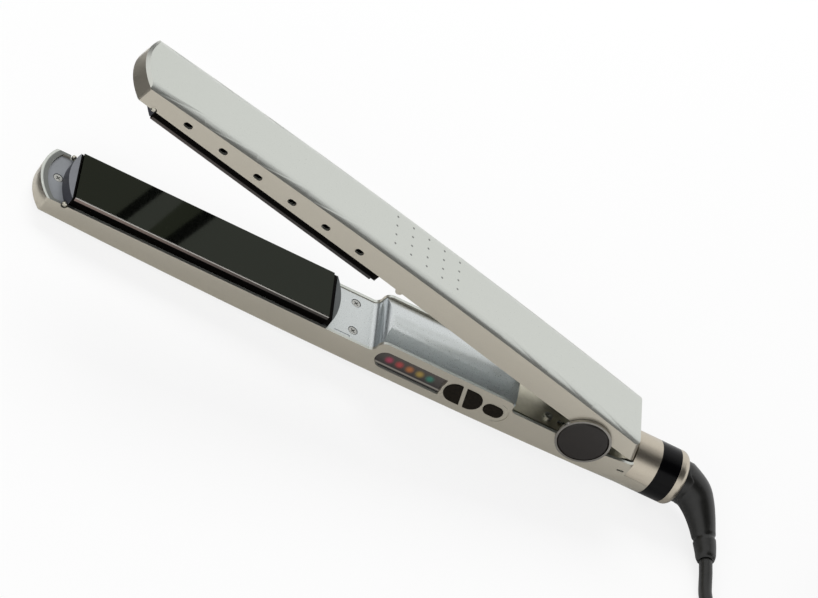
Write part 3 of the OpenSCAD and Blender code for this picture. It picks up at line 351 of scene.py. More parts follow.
# %% [markdown]
# The lacquered skins. A satin back mirrors the room in one long soft line, and every
# small error of direction would break that line. So the skins get the exact directions
# of the form they were drawn with: a back bowed by 3745 mm with rolled edges of 7 mm,
# and a cover crowned by 39 mm. A smoothing modifier only averages what the coarse faces
# say, and blurs the sharp edges too. The form itself stays as it is.

# %% Skins of the arms and the inner cover
BOW_R = 3745.0
ARM_TOP = 18.1377
ROLL_R = 7.0
ROLL_Y = 11.0005
# Where the straight section begins to grow into the round rear end
MORPH_X = 112.0
CROWN_R = 39.2
CROWN_TOP = -2.6
SHOULDER_X = 6.4
SHOULDER_R = 5.0
# How far off the drawn form a point may lie, and how alike its direction has to be
FORM_ROOM = 0.05
ALIKE = 0.9


def out_of_circle(a, b, radius):
    """Direction away from a circle's middle for a point on it, or nothing for any other."""
    away = math.hypot(a, b)
    return (a / away, b / away) if abs(away - radius) < FORM_ROOM else None


def back_directions(x, y, z):
    """Directions, in the arm's frame, that the bowed back and its rolled edge have here."""
    if x > MORPH_X:
        return []
    bow = math.hypot(x, z - ARM_TOP + BOW_R)
    rise = (x / bow, (z - ARM_TOP + BOW_R) / bow)
    if abs(y) < ROLL_Y + 0.01:
        return [(rise[0], 0, rise[1])] if abs(bow - BOW_R) < FORM_ROOM else []
    roll = out_of_circle(abs(y) - ROLL_Y, bow - BOW_R + ROLL_R, ROLL_R)
    return [(rise[0] * roll[1], math.copysign(roll[0], y), rise[1] * roll[1])] if roll else []


def crown_directions(x, y, z):
    """Directions of the cover's crown and of the shoulder in front of it."""
    crown = out_of_circle(y, z - CROWN_TOP - CROWN_R, CROWN_R)
    shoulder = out_of_circle(x - SHOULDER_X, z - CROWN_TOP - SHOULDER_R, SHOULDER_R)
    found = [(0, crown[0], crown[1])] if crown else []
    return found + ([(shoulder[0], 0, shoulder[1])] if shoulder else [])


def true_skin(name, body, slot, along, outward, directions):
    """A piece with a node's form, shaded by the form's own exact directions."""
    node = nodes[name]
    mesh = node.data.copy()
    mesh.name = name + "_skin"
    shading = [corner.vector.copy() for corner in mesh.corner_normals]
    where = []
    for vertex in mesh.vertices:
        place = (vertex.co - HINGE) / MM
        found = directions(place.dot(along) + HINGE_X, place.y, place.dot(outward))
        where.append([(a * along + c * outward + Vector((0, b, 0))).normalized() for a, b, c in found])
    for polygon in mesh.polygons:
        for corner in polygon.loop_indices:
            for direction in where[mesh.loops[corner].vertex_index]:
                if direction.dot(polygon.normal) > ALIKE:
                    shading[corner] = direction
    mesh.normals_split_custom_set(shading)
    skin = new_piece(name + "_skin", mesh, body, smooth=False)
    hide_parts(name)
    return skin


SKINS = {"lower_shell": ("lower_arm", "shell_paint", ALONG, DOWN, back_directions),
         "upper_shell": ("upper_arm", "shell_paint", ALONG_UP, OUT_UP, back_directions),
         "lower_inner_cover": ("lower_arm", "cover_paint", ALONG, DOWN, crown_directions)}
skins = {name: true_skin(name, *facts) for name, facts in SKINS.items()}
print("skins", *skins)

# %% [markdown]
# Each plate hangs on two small domed studs at its tip end, which show in round notches
# of the walls. They are turned pins, so a tube whose radius grows from the dome is their
# true form. A squashed sphere would bulge where the pin is straight.

# %% Plate studs
STUD_X = -146.5
STUD_Z = 5.45
STUD_SIDES = 24
# Place across the arm and radius, from the dome inward
STUD = [(-15.38, 0.4), (-15.3, 0.8), (-15.1, 1.1), (-14.8, 1.2), (-14.2, 1.2)]
studs = []
for body, place in ARMS.items():
    for side in (1, -1):
        line = [[*place(STUD_X, side * y, STUD_Z), r * MM] for y, r in STUD]
        name = f"{body}_stud_{'near' if side > 0 else 'far'}"
        studs.append(new_piece(name, tube(name, line, STUD_SIDES), body))
print("studs", len(studs))

# %% [markdown]
# Dark bars fill the small gaps before and behind each plate, as painted shade in the
# gaps. Each is a bar across the arm with soft edges. Its outline is drawn point by point,
# because a bevelled box would need a modifier for every one of the four.


# %% Dark bars in the gaps at the plates' ends
BAR_LOW = 1.0
BAR_HIGH = 5.0
BAR_SOFT = 0.25
# Place across the arm, and by how much the bar is drawn in there
BAR_ACROSS = ((-14.1, 0.3), (-13.8, 0), (13.8, 0), (14.1, 0.3))
GAP_BARS = (("front", -144.92, -144.08), ("rear", -23.9, -22.1))


def gap_bar_builder(x0, x1, place):
    """Builder of a bar across the arm, with soft edges and slightly drawn-in ends."""
    def build(made):
        rings = []
        for y, draft in BAR_ACROSS:
            low = BAR_LOW + draft
            high = BAR_HIGH - draft
            soft = BAR_SOFT
            corners = ((x0 + soft, low), (x1 - soft, low), (x1, low + soft), (x1, high - soft),
                       (x1 - soft, high), (x0 + soft, high), (x0, high - soft), (x0, low + soft))
            rings.append([made.verts.new(place(x, y, z)) for x, z in corners])
        bridge_rings(made, rings)
    return build


gap_shade_bars = []
for body, place in ARMS.items():
    for end, x0, x1 in GAP_BARS:
        name = f"{body}_{end}_seal"
        gap_shade_bars.append(new_piece(name, mesh_of(name, gap_bar_builder(x0, x1, place)), body, smooth=False))
print("gap_shade_bars", len(gap_shade_bars))

# %% [markdown]
# Finishes. Each one starts from what the real surface is and how it was made. Patterns
# are placed in metres on the piece itself, so that a grain has one real size on every
# piece. Unwrapping and painting would do it too, but would tie the grain to one mesh.
# Colours are written as sRGB hex and turned to linear by one function.


# %% Helpers for materials
def colour(text):
    """sRGB hex such as #c8c8c4 as a linear colour."""
    values = [int(text[i:i + 2], 16) / 255 for i in (1, 3, 5)]
    return [v / 12.92 if v <= 0.04045 else ((v + 0.055) / 1.055) ** 2.4 for v in values] + [1]


def add_node(tree, kind, values=None, **settings):
    """Adds a node, sets its own settings, and fills or links its sockets."""
    node = tree.nodes.new(kind)
    for name, value in settings.items():
        setattr(node, name, value)
    for name, value in (values or {}).items():
        if isinstance(value, bpy.types.NodeSocket):
            tree.links.new(value, node.inputs[name])
        else:
            node.inputs[name].default_value = value
    return node


def start_material(name, **sockets):
    """A material with its own shader, whose plain sockets are set here."""
    material = bpy.data.materials.new(name)
    material.use_nodes = True
    tree = material.node_tree
    shader = tree.nodes["Principled BSDF"]
    for socket, value in sockets.items():
        shader.inputs[socket.replace("_", " ")].default_value = value
    where = add_node(tree, "ShaderNodeTexCoord")
    return material, tree, shader, where


def grain(tree, shader, where, size_mm, depth_mm, rough, spread, detail=3.0, stretch=(1, 1, 1)):
    """Fine grain of a real size, in the roughness and as bumps. Returns its pattern."""
    space = add_node(tree, "ShaderNodeMapping", {"Vector": where, "Scale": stretch})
    noise = add_node(tree, "ShaderNodeTexNoise", {"Vector": space.outputs[0], "Scale": 1 / (size_mm * MM),
                                                  "Detail": detail, "Roughness": 0.55})
    spreading = add_node(tree, "ShaderNodeMapRange", {0: noise.outputs[0], 1: 0.25, 2: 0.75,
                                                      3: rough - spread, 4: rough + spread})
    bump = add_node(tree, "ShaderNodeBump", {"Height": noise.outputs[0], "Strength": 0.6,
                                             "Distance": depth_mm * MM})
    tree.links.new(spreading.outputs[0], shader.inputs["Roughness"])
    tree.links.new(bump.outputs[0], shader.inputs["Normal"])
    return noise.outputs[0]


print("middle grey #808080 is linear", round(colour("#808080")[0], 3))

# %% [markdown]
# Painted shade darkens two places: the lower tip's flat rim and the small dimples of
# the upper back. It could be painted on by hand. A share from 0 to 1, worked out from
# the form's own sizes, says where it lies instead, and follows the form exactly.


# %% Painted shade on the tip's rim and in the dimples
# The rim's middle and where its dark part ends
TIP_ROUND_X = -133.0
RIM_SHADE_R = 25.0
RIM_LINE = 0.4
RIM_BELOW = 40 * MM
RIM_BEFORE = -31 * MM
# The dimples' field, and how deep below the bowed back their dark part lies
DIMPLES_X = -8.3
FIELD_HALF = 21 * MM
FLAT_HALF = 10.6 * MM
DARK_FROM = 0.05
DARK_FULL = 0.12
DARK_LAST = 0.5


def rim_painted_shade(tree, where):
    """1 where painted shade lies on the lower tip's flat rim, inside its bright outer line; 0 elsewhere."""
    middle = lower(TIP_ROUND_X, 0, 0)
    aside = add_node(tree, "ShaderNodeVectorMath", {0: where.outputs["Object"], 1: middle},
                     operation="SUBTRACT")
    level = add_node(tree, "ShaderNodeVectorMath", {0: aside.outputs[0], 1: (1000, 1000, 0)},
                     operation="MULTIPLY")
    away = add_node(tree, "ShaderNodeVectorMath", {0: level.outputs[0]}, operation="LENGTH")
    inside = add_node(tree, "ShaderNodeMapRange", {0: away.outputs["Value"], 1: RIM_SHADE_R,
                                                   2: RIM_SHADE_R + RIM_LINE, 3: 1, 4: 0})
    facing = add_node(tree, "ShaderNodeSeparateXYZ", {0: where.outputs["Normal"]})
    flat = add_node(tree, "ShaderNodeMapRange", {0: facing.outputs[2], 1: 0.9, 2: 0.97})
    place = add_node(tree, "ShaderNodeSeparateXYZ", {0: where.outputs["Object"]})
    low = add_node(tree, "ShaderNodeMath", {0: place.outputs[2], 1: RIM_BELOW}, operation="LESS_THAN")
    tip = add_node(tree, "ShaderNodeMath", {0: place.outputs[0], 1: RIM_BEFORE}, operation="LESS_THAN")
    share = inside
    for other in (flat, low, tip):
        share = add_node(tree, "ShaderNodeMath", {0: share.outputs[0], 1: other.outputs[0]},
                         operation="MULTIPLY")
    return share.outputs[0]


def dimple_painted_shade(tree, where):
    """1 where painted shade lies, inside the upper back's small dimples below its bowed surface."""
    middle = upper(0, 0, ARM_TOP - BOW_R)
    away = add_node(tree, "ShaderNodeVectorMath", {0: where.outputs["Object"], 1: middle},
                    operation="SUBTRACT")
    level = add_node(tree, "ShaderNodeVectorMath", {0: away.outputs[0], 1: (1000, 0, 1000)},
                     operation="MULTIPLY")
    bow = add_node(tree, "ShaderNodeVectorMath", {0: level.outputs[0]}, operation="LENGTH")
    below = add_node(tree, "ShaderNodeMapRange", {0: bow.outputs["Value"], 1: BOW_R - DARK_FROM,
                                                  2: BOW_R - DARK_FULL})
    near = add_node(tree, "ShaderNodeMath", {0: bow.outputs["Value"], 1: BOW_R - DARK_LAST},
                    operation="GREATER_THAN")
    place = add_node(tree, "ShaderNodeVectorMath", {0: where.outputs["Object"],
                                                    1: upper(DIMPLES_X, 0, 0)}, operation="SUBTRACT")
    along = add_node(tree, "ShaderNodeVectorMath", {0: place.outputs[0], 1: ALONG_UP},
                     operation="DOT_PRODUCT")
    aside = add_node(tree, "ShaderNodeMath", {0: along.outputs["Value"]}, operation="ABSOLUTE")
    field = add_node(tree, "ShaderNodeMath", {0: aside.outputs[0], 1: FIELD_HALF}, operation="LESS_THAN")
    across = add_node(tree, "ShaderNodeVectorMath", {0: where.outputs["Object"], 1: (0, 1, 0)},
                      operation="DOT_PRODUCT")
    off_middle = add_node(tree, "ShaderNodeMath", {0: across.outputs["Value"]}, operation="ABSOLUTE")
    level_part = add_node(tree, "ShaderNodeMath", {0: off_middle.outputs[0], 1: FLAT_HALF},
                          operation="LESS_THAN")
    share = below
    for other in (near, field, level_part):
        share = add_node(tree, "ShaderNodeMath", {0: share.outputs[0], 1: other.outputs[0]},
                         operation="MULTIPLY")
    return share.outputs[0]


# Depth below the back at which the painted shade in the dimples starts
print("dirt in the dimples starts", DARK_FROM, "mm below the back")

# %% [markdown]
# The shells are moulded in glass-filled ABS and sprayed with one metallic lacquer. Its
# upright walls get a warmer, darker tone and its level backs a cooler, lighter one:
# painted light and shade. A clear coat over a flake layer would be the full recipe. One
# rough metal with a faint sparkle gives the same soft long reflections. The flakes are
# too fine to show, so they are drawn at half a millimetre.
# Rubbing along the arms leaves faint long marks.

# %% Lacquers
FLAKE_SIZE = 0.5
RUBBED = "#d9d9d6"
# Painted shade for the tip's rim and the dimples
PAINTED_SHADE = "#70726f"


def metallic_lacquer(name, painted_wall_tone, painted_back_tone, metal, rough, painted_shade_mask=None, relief=0.002):
    """Sprayed metallic paint with painted light and shade: one tone on upright walls, one on level faces.
    """
    material, tree, shader, where = start_material(name, Metallic=metal)
    flakes = grain(tree, shader, where.outputs["Object"], FLAKE_SIZE, relief, rough, 0.03)
    facing = add_node(tree, "ShaderNodeSeparateXYZ", {0: where.outputs["Normal"]})
    upward = add_node(tree, "ShaderNodeMath", {0: facing.outputs[2]}, operation="ABSOLUTE")
    lit_backs = add_node(tree, "ShaderNodeMapRange", {0: upward.outputs[0], 1: 0.55, 2: 0.9},
                     interpolation_type="SMOOTHSTEP")
    base = add_node(tree, "ShaderNodeMix", {0: lit_backs.outputs[0], 6: colour(painted_wall_tone), 7: colour(painted_back_tone)},
                    data_type="RGBA")
    sparkle = add_node(tree, "ShaderNodeMapRange", {0: flakes, 1: 0.3, 2: 0.7, 3: 0.97, 4: 1.02})
    speckled = add_node(tree, "ShaderNodeMix", {0: 1.0, 6: base.outputs[2], 7: sparkle.outputs[0]},
                        data_type="RGBA", blend_type="MULTIPLY")
    along = add_node(tree, "ShaderNodeMapping", {"Vector": where.outputs["Object"], "Scale": (1, 30, 30)})
    rubs = add_node(tree, "ShaderNodeTexNoise", {"Vector": along.outputs[0], "Scale": 45, "Detail": 6})
    marks = add_node(tree, "ShaderNodeMapRange", {0: rubs.outputs[0], 1: 0.62, 2: 0.85, 3: 0, 4: 0.15})
    wear_and_painted_light = add_node(tree, "ShaderNodeMix", {0: marks.outputs[0], 6: speckled.outputs[2],
                                            7: colour(RUBBED)}, data_type="RGBA")
    # Painted shade where the mask lies
    if painted_shade_mask:
        wear_and_painted_light = add_node(tree, "ShaderNodeMix", {0: painted_shade_mask(tree, where), 6: wear_and_painted_light.outputs[2],
                                                7: colour(PAINTED_SHADE)}, data_type="RGBA")
    tree.links.new(wear_and_painted_light.outputs[2], shader.inputs["Base Color"])
    return material


# Walls painted warmer and darker than backs as painted shade; satin blurs the room to broad bands
WALL_SHADED = "#c1bbad"
BACK_LIT = "#cbcec8"
lower_lacquer = metallic_lacquer("metallic_lacquer_on_abs", WALL_SHADED, BACK_LIT, 0.85, 0.3, rim_painted_shade)
upper_lacquer = metallic_lacquer("metallic_lacquer_upper", WALL_SHADED, BACK_LIT, 0.85, 0.3, dimple_painted_shade)
# The covers are sprayed cooler and smoother, so their crown shows bands with firmer edges.
# Their walls too are painted darker than their backs as painted shade
cover_lacquer = metallic_lacquer("blue_grey_lacquer_on_abs", "#b9c0c3", "#cdd1d1", 0.86, 0.29, None, 0.0002)
print("lacquers", lower_lacquer.name, upper_lacquer.name, cover_lacquer.name)


# %% [markdown]
# Plain mouldings: heat-proof PBT for the inserts and spacers, PPS for the carriers, ABS
# and silicone rubber for caps and buttons, PVC for the lead. Each could be a plain colour
# with one roughness. What tells them apart is their grain: spark-eroded moulds leave a
# fine even texture, rubber looks mottled. So one recipe draws all of them.


# %% Moulded plastics and rubber
def moulded(name, shade, rough, size_mm, depth_mm, spread=0.06, mottle=0.12, size_of_mottle=4.0,
            shaded_flank=None, gloss=0.5):
    """Moulded surface with fine grain and clouds, and painted shade: a darker colour on upright flanks."""
    material, tree, shader, where = start_material(name, IOR=1.5, Specular_IOR_Level=gloss)
    grain(tree, shader, where.outputs["Object"], size_mm, depth_mm, rough, spread)
    clouds = add_node(tree, "ShaderNodeTexNoise", {"Vector": where.outputs["Object"],
                                                   "Scale": 1 / (size_of_mottle * MM), "Detail": 4})
    change = add_node(tree, "ShaderNodeMapRange", {0: clouds.outputs[0], 1: 0.3, 2: 0.7,
                                                   3: 1 - mottle, 4: 1 + mottle})
    # Painted shade: upright flanks take the darker flank colour, level faces the plain one
    facing = add_node(tree, "ShaderNodeSeparateXYZ", {0: where.outputs["Normal"]})
    upward = add_node(tree, "ShaderNodeMath", {0: facing.outputs[2]}, operation="ABSOLUTE")
    lit_tops = add_node(tree, "ShaderNodeMapRange", {0: upward.outputs[0], 1: 0.5, 2: 0.95},
                    interpolation_type="SMOOTHSTEP")
    tones = add_node(tree, "ShaderNodeMix", {0: lit_tops.outputs[0], 6: colour(shaded_flank or shade),
                                             7: colour(shade)}, data_type="RGBA")
    base = add_node(tree, "ShaderNodeMix", {0: 1.0, 6: tones.outputs[2], 7: change.outputs[0]},
                    data_type="RGBA", blend_type="MULTIPLY")
    tree.links.new(base.outputs[2], shader.inputs["Base Color"])
    return material


# PBT: matt and chalky. Its upright flanks are painted darker as painted shade, so level faces look lit
insert_pbt = moulded("blue_grey_pbt", "#83868a", 0.45, 0.4, 0.01, mottle=0.05, shaded_flank="#3c3d45")
step_pbt = moulded("dark_blue_grey_pbt", "#727479", 0.45, 0.4, 0.01, mottle=0.05, shaded_flank="#34353c")
spacer_pbt = moulded("grey_pbt", "#4c5050", 0.5, 0.4, 0.012, mottle=0.06, shaded_flank="#303333")
# PPS: glass fibres make it dead black and dry. The dark gap bars share it as painted shade
carrier_pps = moulded("black_glass_filled_pps", "#080706", 0.7, 0.6, 0.02, mottle=0.3, size_of_mottle=1.2,
                      gloss=0.04)
# ABS: a satin black with a clear soft highlight
cap_abs = moulded("satin_black_abs", "#181310", 0.36, 0.35, 0.006, mottle=0.08, gloss=0.4)
# Rubber: warm, dull and mottled by dust and touch
button_rubber = moulded("silicone_rubber", "#15110b", 0.6, 0.5, 0.02, mottle=0.5, size_of_mottle=0.9,
                        gloss=0.1)
# POM: waxy and even
switch_pom = moulded("black_pom", "#1c1c1c", 0.45, 0.5, 0.01)
# PVC: the drawn sheath has a long soft gleam, and the moulded plug is duller
cord_pvc = moulded("black_pvc_sheath", "#11110f", 0.36, 0.5, 0.012, mottle=0.15, size_of_mottle=3.0)
plug_pvc = moulded("black_pvc_plug", "#18181a", 0.48, 0.35, 0.015, mottle=0.1)
print("plastics", insert_pbt.name, carrier_pps.name, cap_abs.name, button_rubber.name, cord_pvc.name)


# %% [markdown]
# The plates are aluminium with a ground and coated face, almost black and glossy. The
# grinding runs across the plate and leaves hair-fine lines that only the gloss shows.
# Face, flank and edge could be three materials on picked faces. One material that reads
# the faces' own directions keeps the mesh as it is. The flank's colour is a painted
# reflection, lighter at the tip and darker toward the rear, with painted shade on its
# underside, and the bright long edges are worn bare metal that also paints a highlight.
# Under the plates lies a ceramic heater wrapped in amber film, whose wraps show as
# glossy bands.


# %% Plates and heaters
# Along the arm from the hinge, in metres: the flank's painted reflection darkens from tip to rear
FLANK_TIP = -0.246
FLANK_REAR = -0.150
# Depth below the mid plane, in metres, at which the painted shade of the flank's underside begins
UNDER_FROM = 0.0017
UNDER_FULL = 0.0019
COATING = ("#030403", "#060705")
# Painted shade of the flank's underside, in the gap by the wall
UNDERSIDE_SHADE = "#060504"
# Worn bare metal of the long edges, light enough to paint their highlight
BARE_EDGE_HIGHLIGHT = "#c9c6c0"


def coated_plate(name, outward, front, painted_back_tone):
    """Coated face, ground flanks in painted shade, worn edges as painted highlight. Outward leaves the mid
    plane.
    """
    material, tree, shader, where = start_material(name, IOR=1.5)
    lines = grain(tree, shader, where.outputs["Object"], 0.4, 0.0001, 0.025, 0.01, 2.0, (1, 0.02, 0.02))
    face = add_node(tree, "ShaderNodeMix", {0: lines, 6: colour(COATING[0]), 7: colour(COATING[1])},
                    data_type="RGBA")
    place = add_node(tree, "ShaderNodeVectorMath", {0: where.outputs["Object"], 1: HINGE},
                     operation="SUBTRACT")
    along = add_node(tree, "ShaderNodeVectorMath", {0: place.outputs[0], 1: ALONG}, operation="DOT_PRODUCT")
    rear = add_node(tree, "ShaderNodeMapRange", {0: along.outputs["Value"], 1: FLANK_TIP, 2: FLANK_REAR})
    shaded_flank = add_node(tree, "ShaderNodeMix", {0: rear.outputs[0], 6: colour(front),
                                             7: colour(painted_back_tone)}, data_type="RGBA")
    depth = add_node(tree, "ShaderNodeVectorMath", {0: place.outputs[0], 1: outward},
                     operation="DOT_PRODUCT")
    shade = add_node(tree, "ShaderNodeMapRange", {0: depth.outputs["Value"], 1: UNDER_FROM, 2: UNDER_FULL})
    shaded_flank = add_node(tree, "ShaderNodeMix", {0: shade.outputs[0], 6: shaded_flank.outputs[2],
                                             7: colour(UNDERSIDE_SHADE)}, data_type="RGBA")
    across = add_node(tree, "ShaderNodeVectorMath", {0: where.outputs["Normal"], 1: (0, 1, 0)},
                      operation="DOT_PRODUCT")
    out = add_node(tree, "ShaderNodeVectorMath", {0: where.outputs["Normal"], 1: outward},
                   operation="DOT_PRODUCT")
    across_part = add_node(tree, "ShaderNodeMath", {0: across.outputs["Value"]}, operation="ABSOLUTE")
    out_part = add_node(tree, "ShaderNodeMath", {0: out.outputs["Value"]}, operation="ABSOLUTE")
    corner = add_node(tree, "ShaderNodeMath", {0: across_part.outputs[0], 1: out_part.outputs[0]},
                      operation="MULTIPLY")
    edges = add_node(tree, "ShaderNodeMapRange", {0: corner.outputs[0], 1: 0.25, 2: 0.45})
    flanks = add_node(tree, "ShaderNodeMapRange", {0: across_part.outputs[0], 1: 0.75, 2: 0.95})
    faced = add_node(tree, "ShaderNodeMix", {0: flanks.outputs[0], 6: face.outputs[2],
                                             7: shaded_flank.outputs[2]}, data_type="RGBA")
    wear_and_painted_light = add_node(tree, "ShaderNodeMix", {0: edges.outputs[0], 6: faced.outputs[2],
                                            7: colour(BARE_EDGE_HIGHLIGHT)}, data_type="RGBA")
    bare = add_node(tree, "ShaderNodeMath", {0: flanks.outputs[0], 1: edges.outputs[0]},
                    operation="MAXIMUM")
    polish = shader.inputs["Roughness"].links[0].from_socket
    rough = add_node(tree, "ShaderNodeMix", {0: bare.outputs[0], 2: polish, 3: 0.45})
    tree.links.new(rough.outputs[0], shader.inputs["Roughness"])
    # The painted shade of the flank's underside counts as metal too, so that it mirrors nothing white.
    under = add_node(tree, "ShaderNodeMath", {0: shade.outputs[0], 1: flanks.outputs[0]},
                     operation="MULTIPLY")
    metal_part = add_node(tree, "ShaderNodeMath", {0: edges.outputs[0], 1: under.outputs[0]},
                          operation="MAXIMUM")
    tree.links.new(metal_part.outputs[0], shader.inputs["Metallic"])
    tree.links.new(wear_and_painted_light.outputs[2], shader.inputs["Base Color"])
    return material


def amber_film():
    """Polyimide film wound round the heater: warm, clear and glossy, in overlapping turns."""
    material, tree, shader, where = start_material("polyimide_wrapped_ceramic", IOR=1.6)
    wraps = add_node(tree, "ShaderNodeTexWave", {"Vector": where.outputs["Object"], "Scale": 12,
                                                 "Distortion": 0.4}, bands_direction="X")
    grain(tree, shader, where.outputs["Object"], 1.2, 0.03, 0.25, 0.06)
    base = add_node(tree, "ShaderNodeMix", {0: wraps.outputs[0], 6: colour("#a8701e"),
                                            7: colour("#c98f35")}, data_type="RGBA")
    tree.links.new(base.outputs[2], shader.inputs["Base Color"])
    return material


# Flank tones from tip to rear are painted reflection; the upper plate's are darker as painted shade
lower_coating = coated_plate("ground_ceramic_coating", DOWN, "#75655e", "#2b2622")
upper_coating = coated_plate("ground_ceramic_coating_upper", OUT_UP, "#3a322e", "#211d1a")
heater_film = amber_film()
print("plates", lower_coating.name, upper_coating.name, "heater", heater_film.name)


# %% [markdown]
# Metals differ in how they were made: turned and chromed rings mirror the room, nickel
# plated screws are dull, sheet steel shows the crystals of its zinc, a die casting is
# satin and slightly pitted, and drawn wire has lines along it. A measured metal would
# need many numbers, while a grain between two tones, at its real size, shows the making.


# %% Metals
def metal(name, shade, other, rough, size_mm, depth_mm, spread, stretch=(1, 1, 1)):
    """Metal whose grain goes between two tones and turns its gloss up and down."""
    material, tree, shader, where = start_material(name, Metallic=1.0)
    pattern = grain(tree, shader, where.outputs["Object"], size_mm, depth_mm, rough, spread, 4.0, stretch)
    change = add_node(tree, "ShaderNodeMapRange", {0: pattern, 1: 0.3, 2: 0.7})
    base = add_node(tree, "ShaderNodeMix", {0: change.outputs[0], 6: colour(shade), 7: colour(other)},
                    data_type="RGBA")
    tree.links.new(base.outputs[2], shader.inputs["Base Color"])
    return material


# Dull nickel: small soft glints on the heads
screw_nickel = metal("nickel_plated_steel", "#a9a9a6", "#bcbcb8", 0.3, 0.5, 0.01, 0.06)
# Zinc: warm grey with patches of crystals
sheet_zinc = metal("zinc_plated_sheet", "#bdb9a8", "#ccc8b7", 0.34, 2.5, 0.01, 0.08)
# Drawn steel: bright lines along the wire
spring_wire = metal("drawn_spring_steel", "#9a9a98", "#b0b0ae", 0.28, 0.4, 0.01, 0.05, (0.1, 1, 1))
# Die casting: pale, satin and faintly pitted
cast_knuckle = metal("satin_die_casting", "#b9bab4", "#c7c8c2", 0.36, 0.7, 0.02, 0.06)
# Dark chrome: thin sharp reflections round the hinge discs
ring_chrome = metal("chromed_ring", "#8a8782", "#9a9791", 0.18, 1.5, 0.002, 0.03)
# Satin plating: the sleeves show one broad warm gleam
satin_silver = metal("satin_plated_sleeve", "#bdb4a4", "#c6beaf", 0.33, 0.5, 0.002, 0.03)
# Bright nickel on brass: yellowish in its reflections
pin_nickel = metal("nickel_plated_brass", "#bdb9ab", "#ccc8bb", 0.22, 0.8, 0.003, 0.05)
print("metals", screw_nickel.name, sheet_zinc.name, ring_chrome.name, satin_silver.name)


# %% [markdown]
# The window is smoked acrylic, polished, over five lights. Light spreads a little in the
# acrylic, so each lamp shows as a soft spot: bright in the middle, gone 3 mm away. Lamps
# behind real glass would need many samples to come out clean. Here the spots are worked
# out from the lamps' real places along the arm, and the material glows by itself there.


# %% The window's lights
WINDOW_Z = 7.4
WINDOW_HALF = 4.9 * MM
FIRST_LIGHT = 9.6
LIGHT_PITCH = 5.0
LIGHT_REACH = 3.0
LIGHT_STRENGTH = 0.5
# The acrylic's painted reflection, glowing, from its upper edge to the polished chamfer at its lower edge
PAINTED_SHEEN = ((0.0, "#55504b"), (0.16, "#46403b"), (0.55, "#38342f"), (0.8, "#282320"), (0.87, "#8d8880"),
         (0.91, "#5d5852"), (0.94, "#120f0d"))
LIGHTS = ("#c2305c", "#c8383a", "#c9742c", "#bfa03c", "#1f8c76")


def light_spots(tree, where):
    """How near a point is to a lamp, from 0 to 1, and the colour of the nearest lamp."""
    start = lower(FIRST_LIGHT - LIGHT_PITCH / 2, 0, WINDOW_Z)
    from_start = add_node(tree, "ShaderNodeVectorMath", {0: where, 1: start}, operation="SUBTRACT")
    x = add_node(tree, "ShaderNodeVectorMath", {0: from_start.outputs[0], 1: ALONG / (LIGHT_PITCH * MM)},
                 operation="DOT_PRODUCT")
    z = add_node(tree, "ShaderNodeVectorMath", {0: from_start.outputs[0], 1: DOWN / (LIGHT_PITCH * MM)},
                 operation="DOT_PRODUCT")
    inside = add_node(tree, "ShaderNodeMath", {0: x.outputs["Value"]}, operation="FRACT")
    aside = add_node(tree, "ShaderNodeMath", {0: inside.outputs[0], 1: 0.5}, operation="SUBTRACT")
    both = add_node(tree, "ShaderNodeCombineXYZ", {0: aside.outputs[0], 1: z.outputs["Value"]})
    away = add_node(tree, "ShaderNodeVectorMath", {0: both.outputs[0]}, operation="LENGTH")
    spot = add_node(tree, "ShaderNodeMapRange", {0: away.outputs["Value"], 1: 0,
                                                 2: LIGHT_REACH / LIGHT_PITCH, 3: 1, 4: 0},
                    interpolation_type="SMOOTHERSTEP")
    lit = add_node(tree, "ShaderNodeMath", {0: x.outputs["Value"], 1: len(LIGHTS)}, operation="LESS_THAN")
    begun = add_node(tree, "ShaderNodeMath", {0: x.outputs["Value"], 1: 0.0}, operation="GREATER_THAN")
    near = spot
    for other in (lit, begun):
        near = add_node(tree, "ShaderNodeMath", {0: near.outputs[0], 1: other.outputs[0]},
                        operation="MULTIPLY")
    part = add_node(tree, "ShaderNodeMath", {0: x.outputs["Value"], 1: len(LIGHTS)}, operation="DIVIDE")
    ramp = add_node(tree, "ShaderNodeValToRGB", {0: part.outputs[0]})
    ramp.color_ramp.interpolation = "CONSTANT"
    for i, shade in enumerate(LIGHTS):
        stop = ramp.color_ramp.elements[i] if i < 1 else ramp.color_ramp.elements.new(i / len(LIGHTS))
        stop.color = colour(shade)
    ramp.color_ramp.elements.remove(ramp.color_ramp.elements[-1])
    return near.outputs[0], ramp.outputs[0]


print("lights", len(LIGHTS), "from", FIRST_LIGHT, "every", LIGHT_PITCH)

# %% [markdown]
# The acrylic itself is dark and polished. Its sheen is a painted reflection: a fixed
# ramp from its upper edge to its lower one, which the acrylic glows with. The circuit
# board behind it is glass laminate under green solder mask. Its tracks could be drawn
# one by one, but it is hardly seen, so a pattern of 4 mm stands for them.


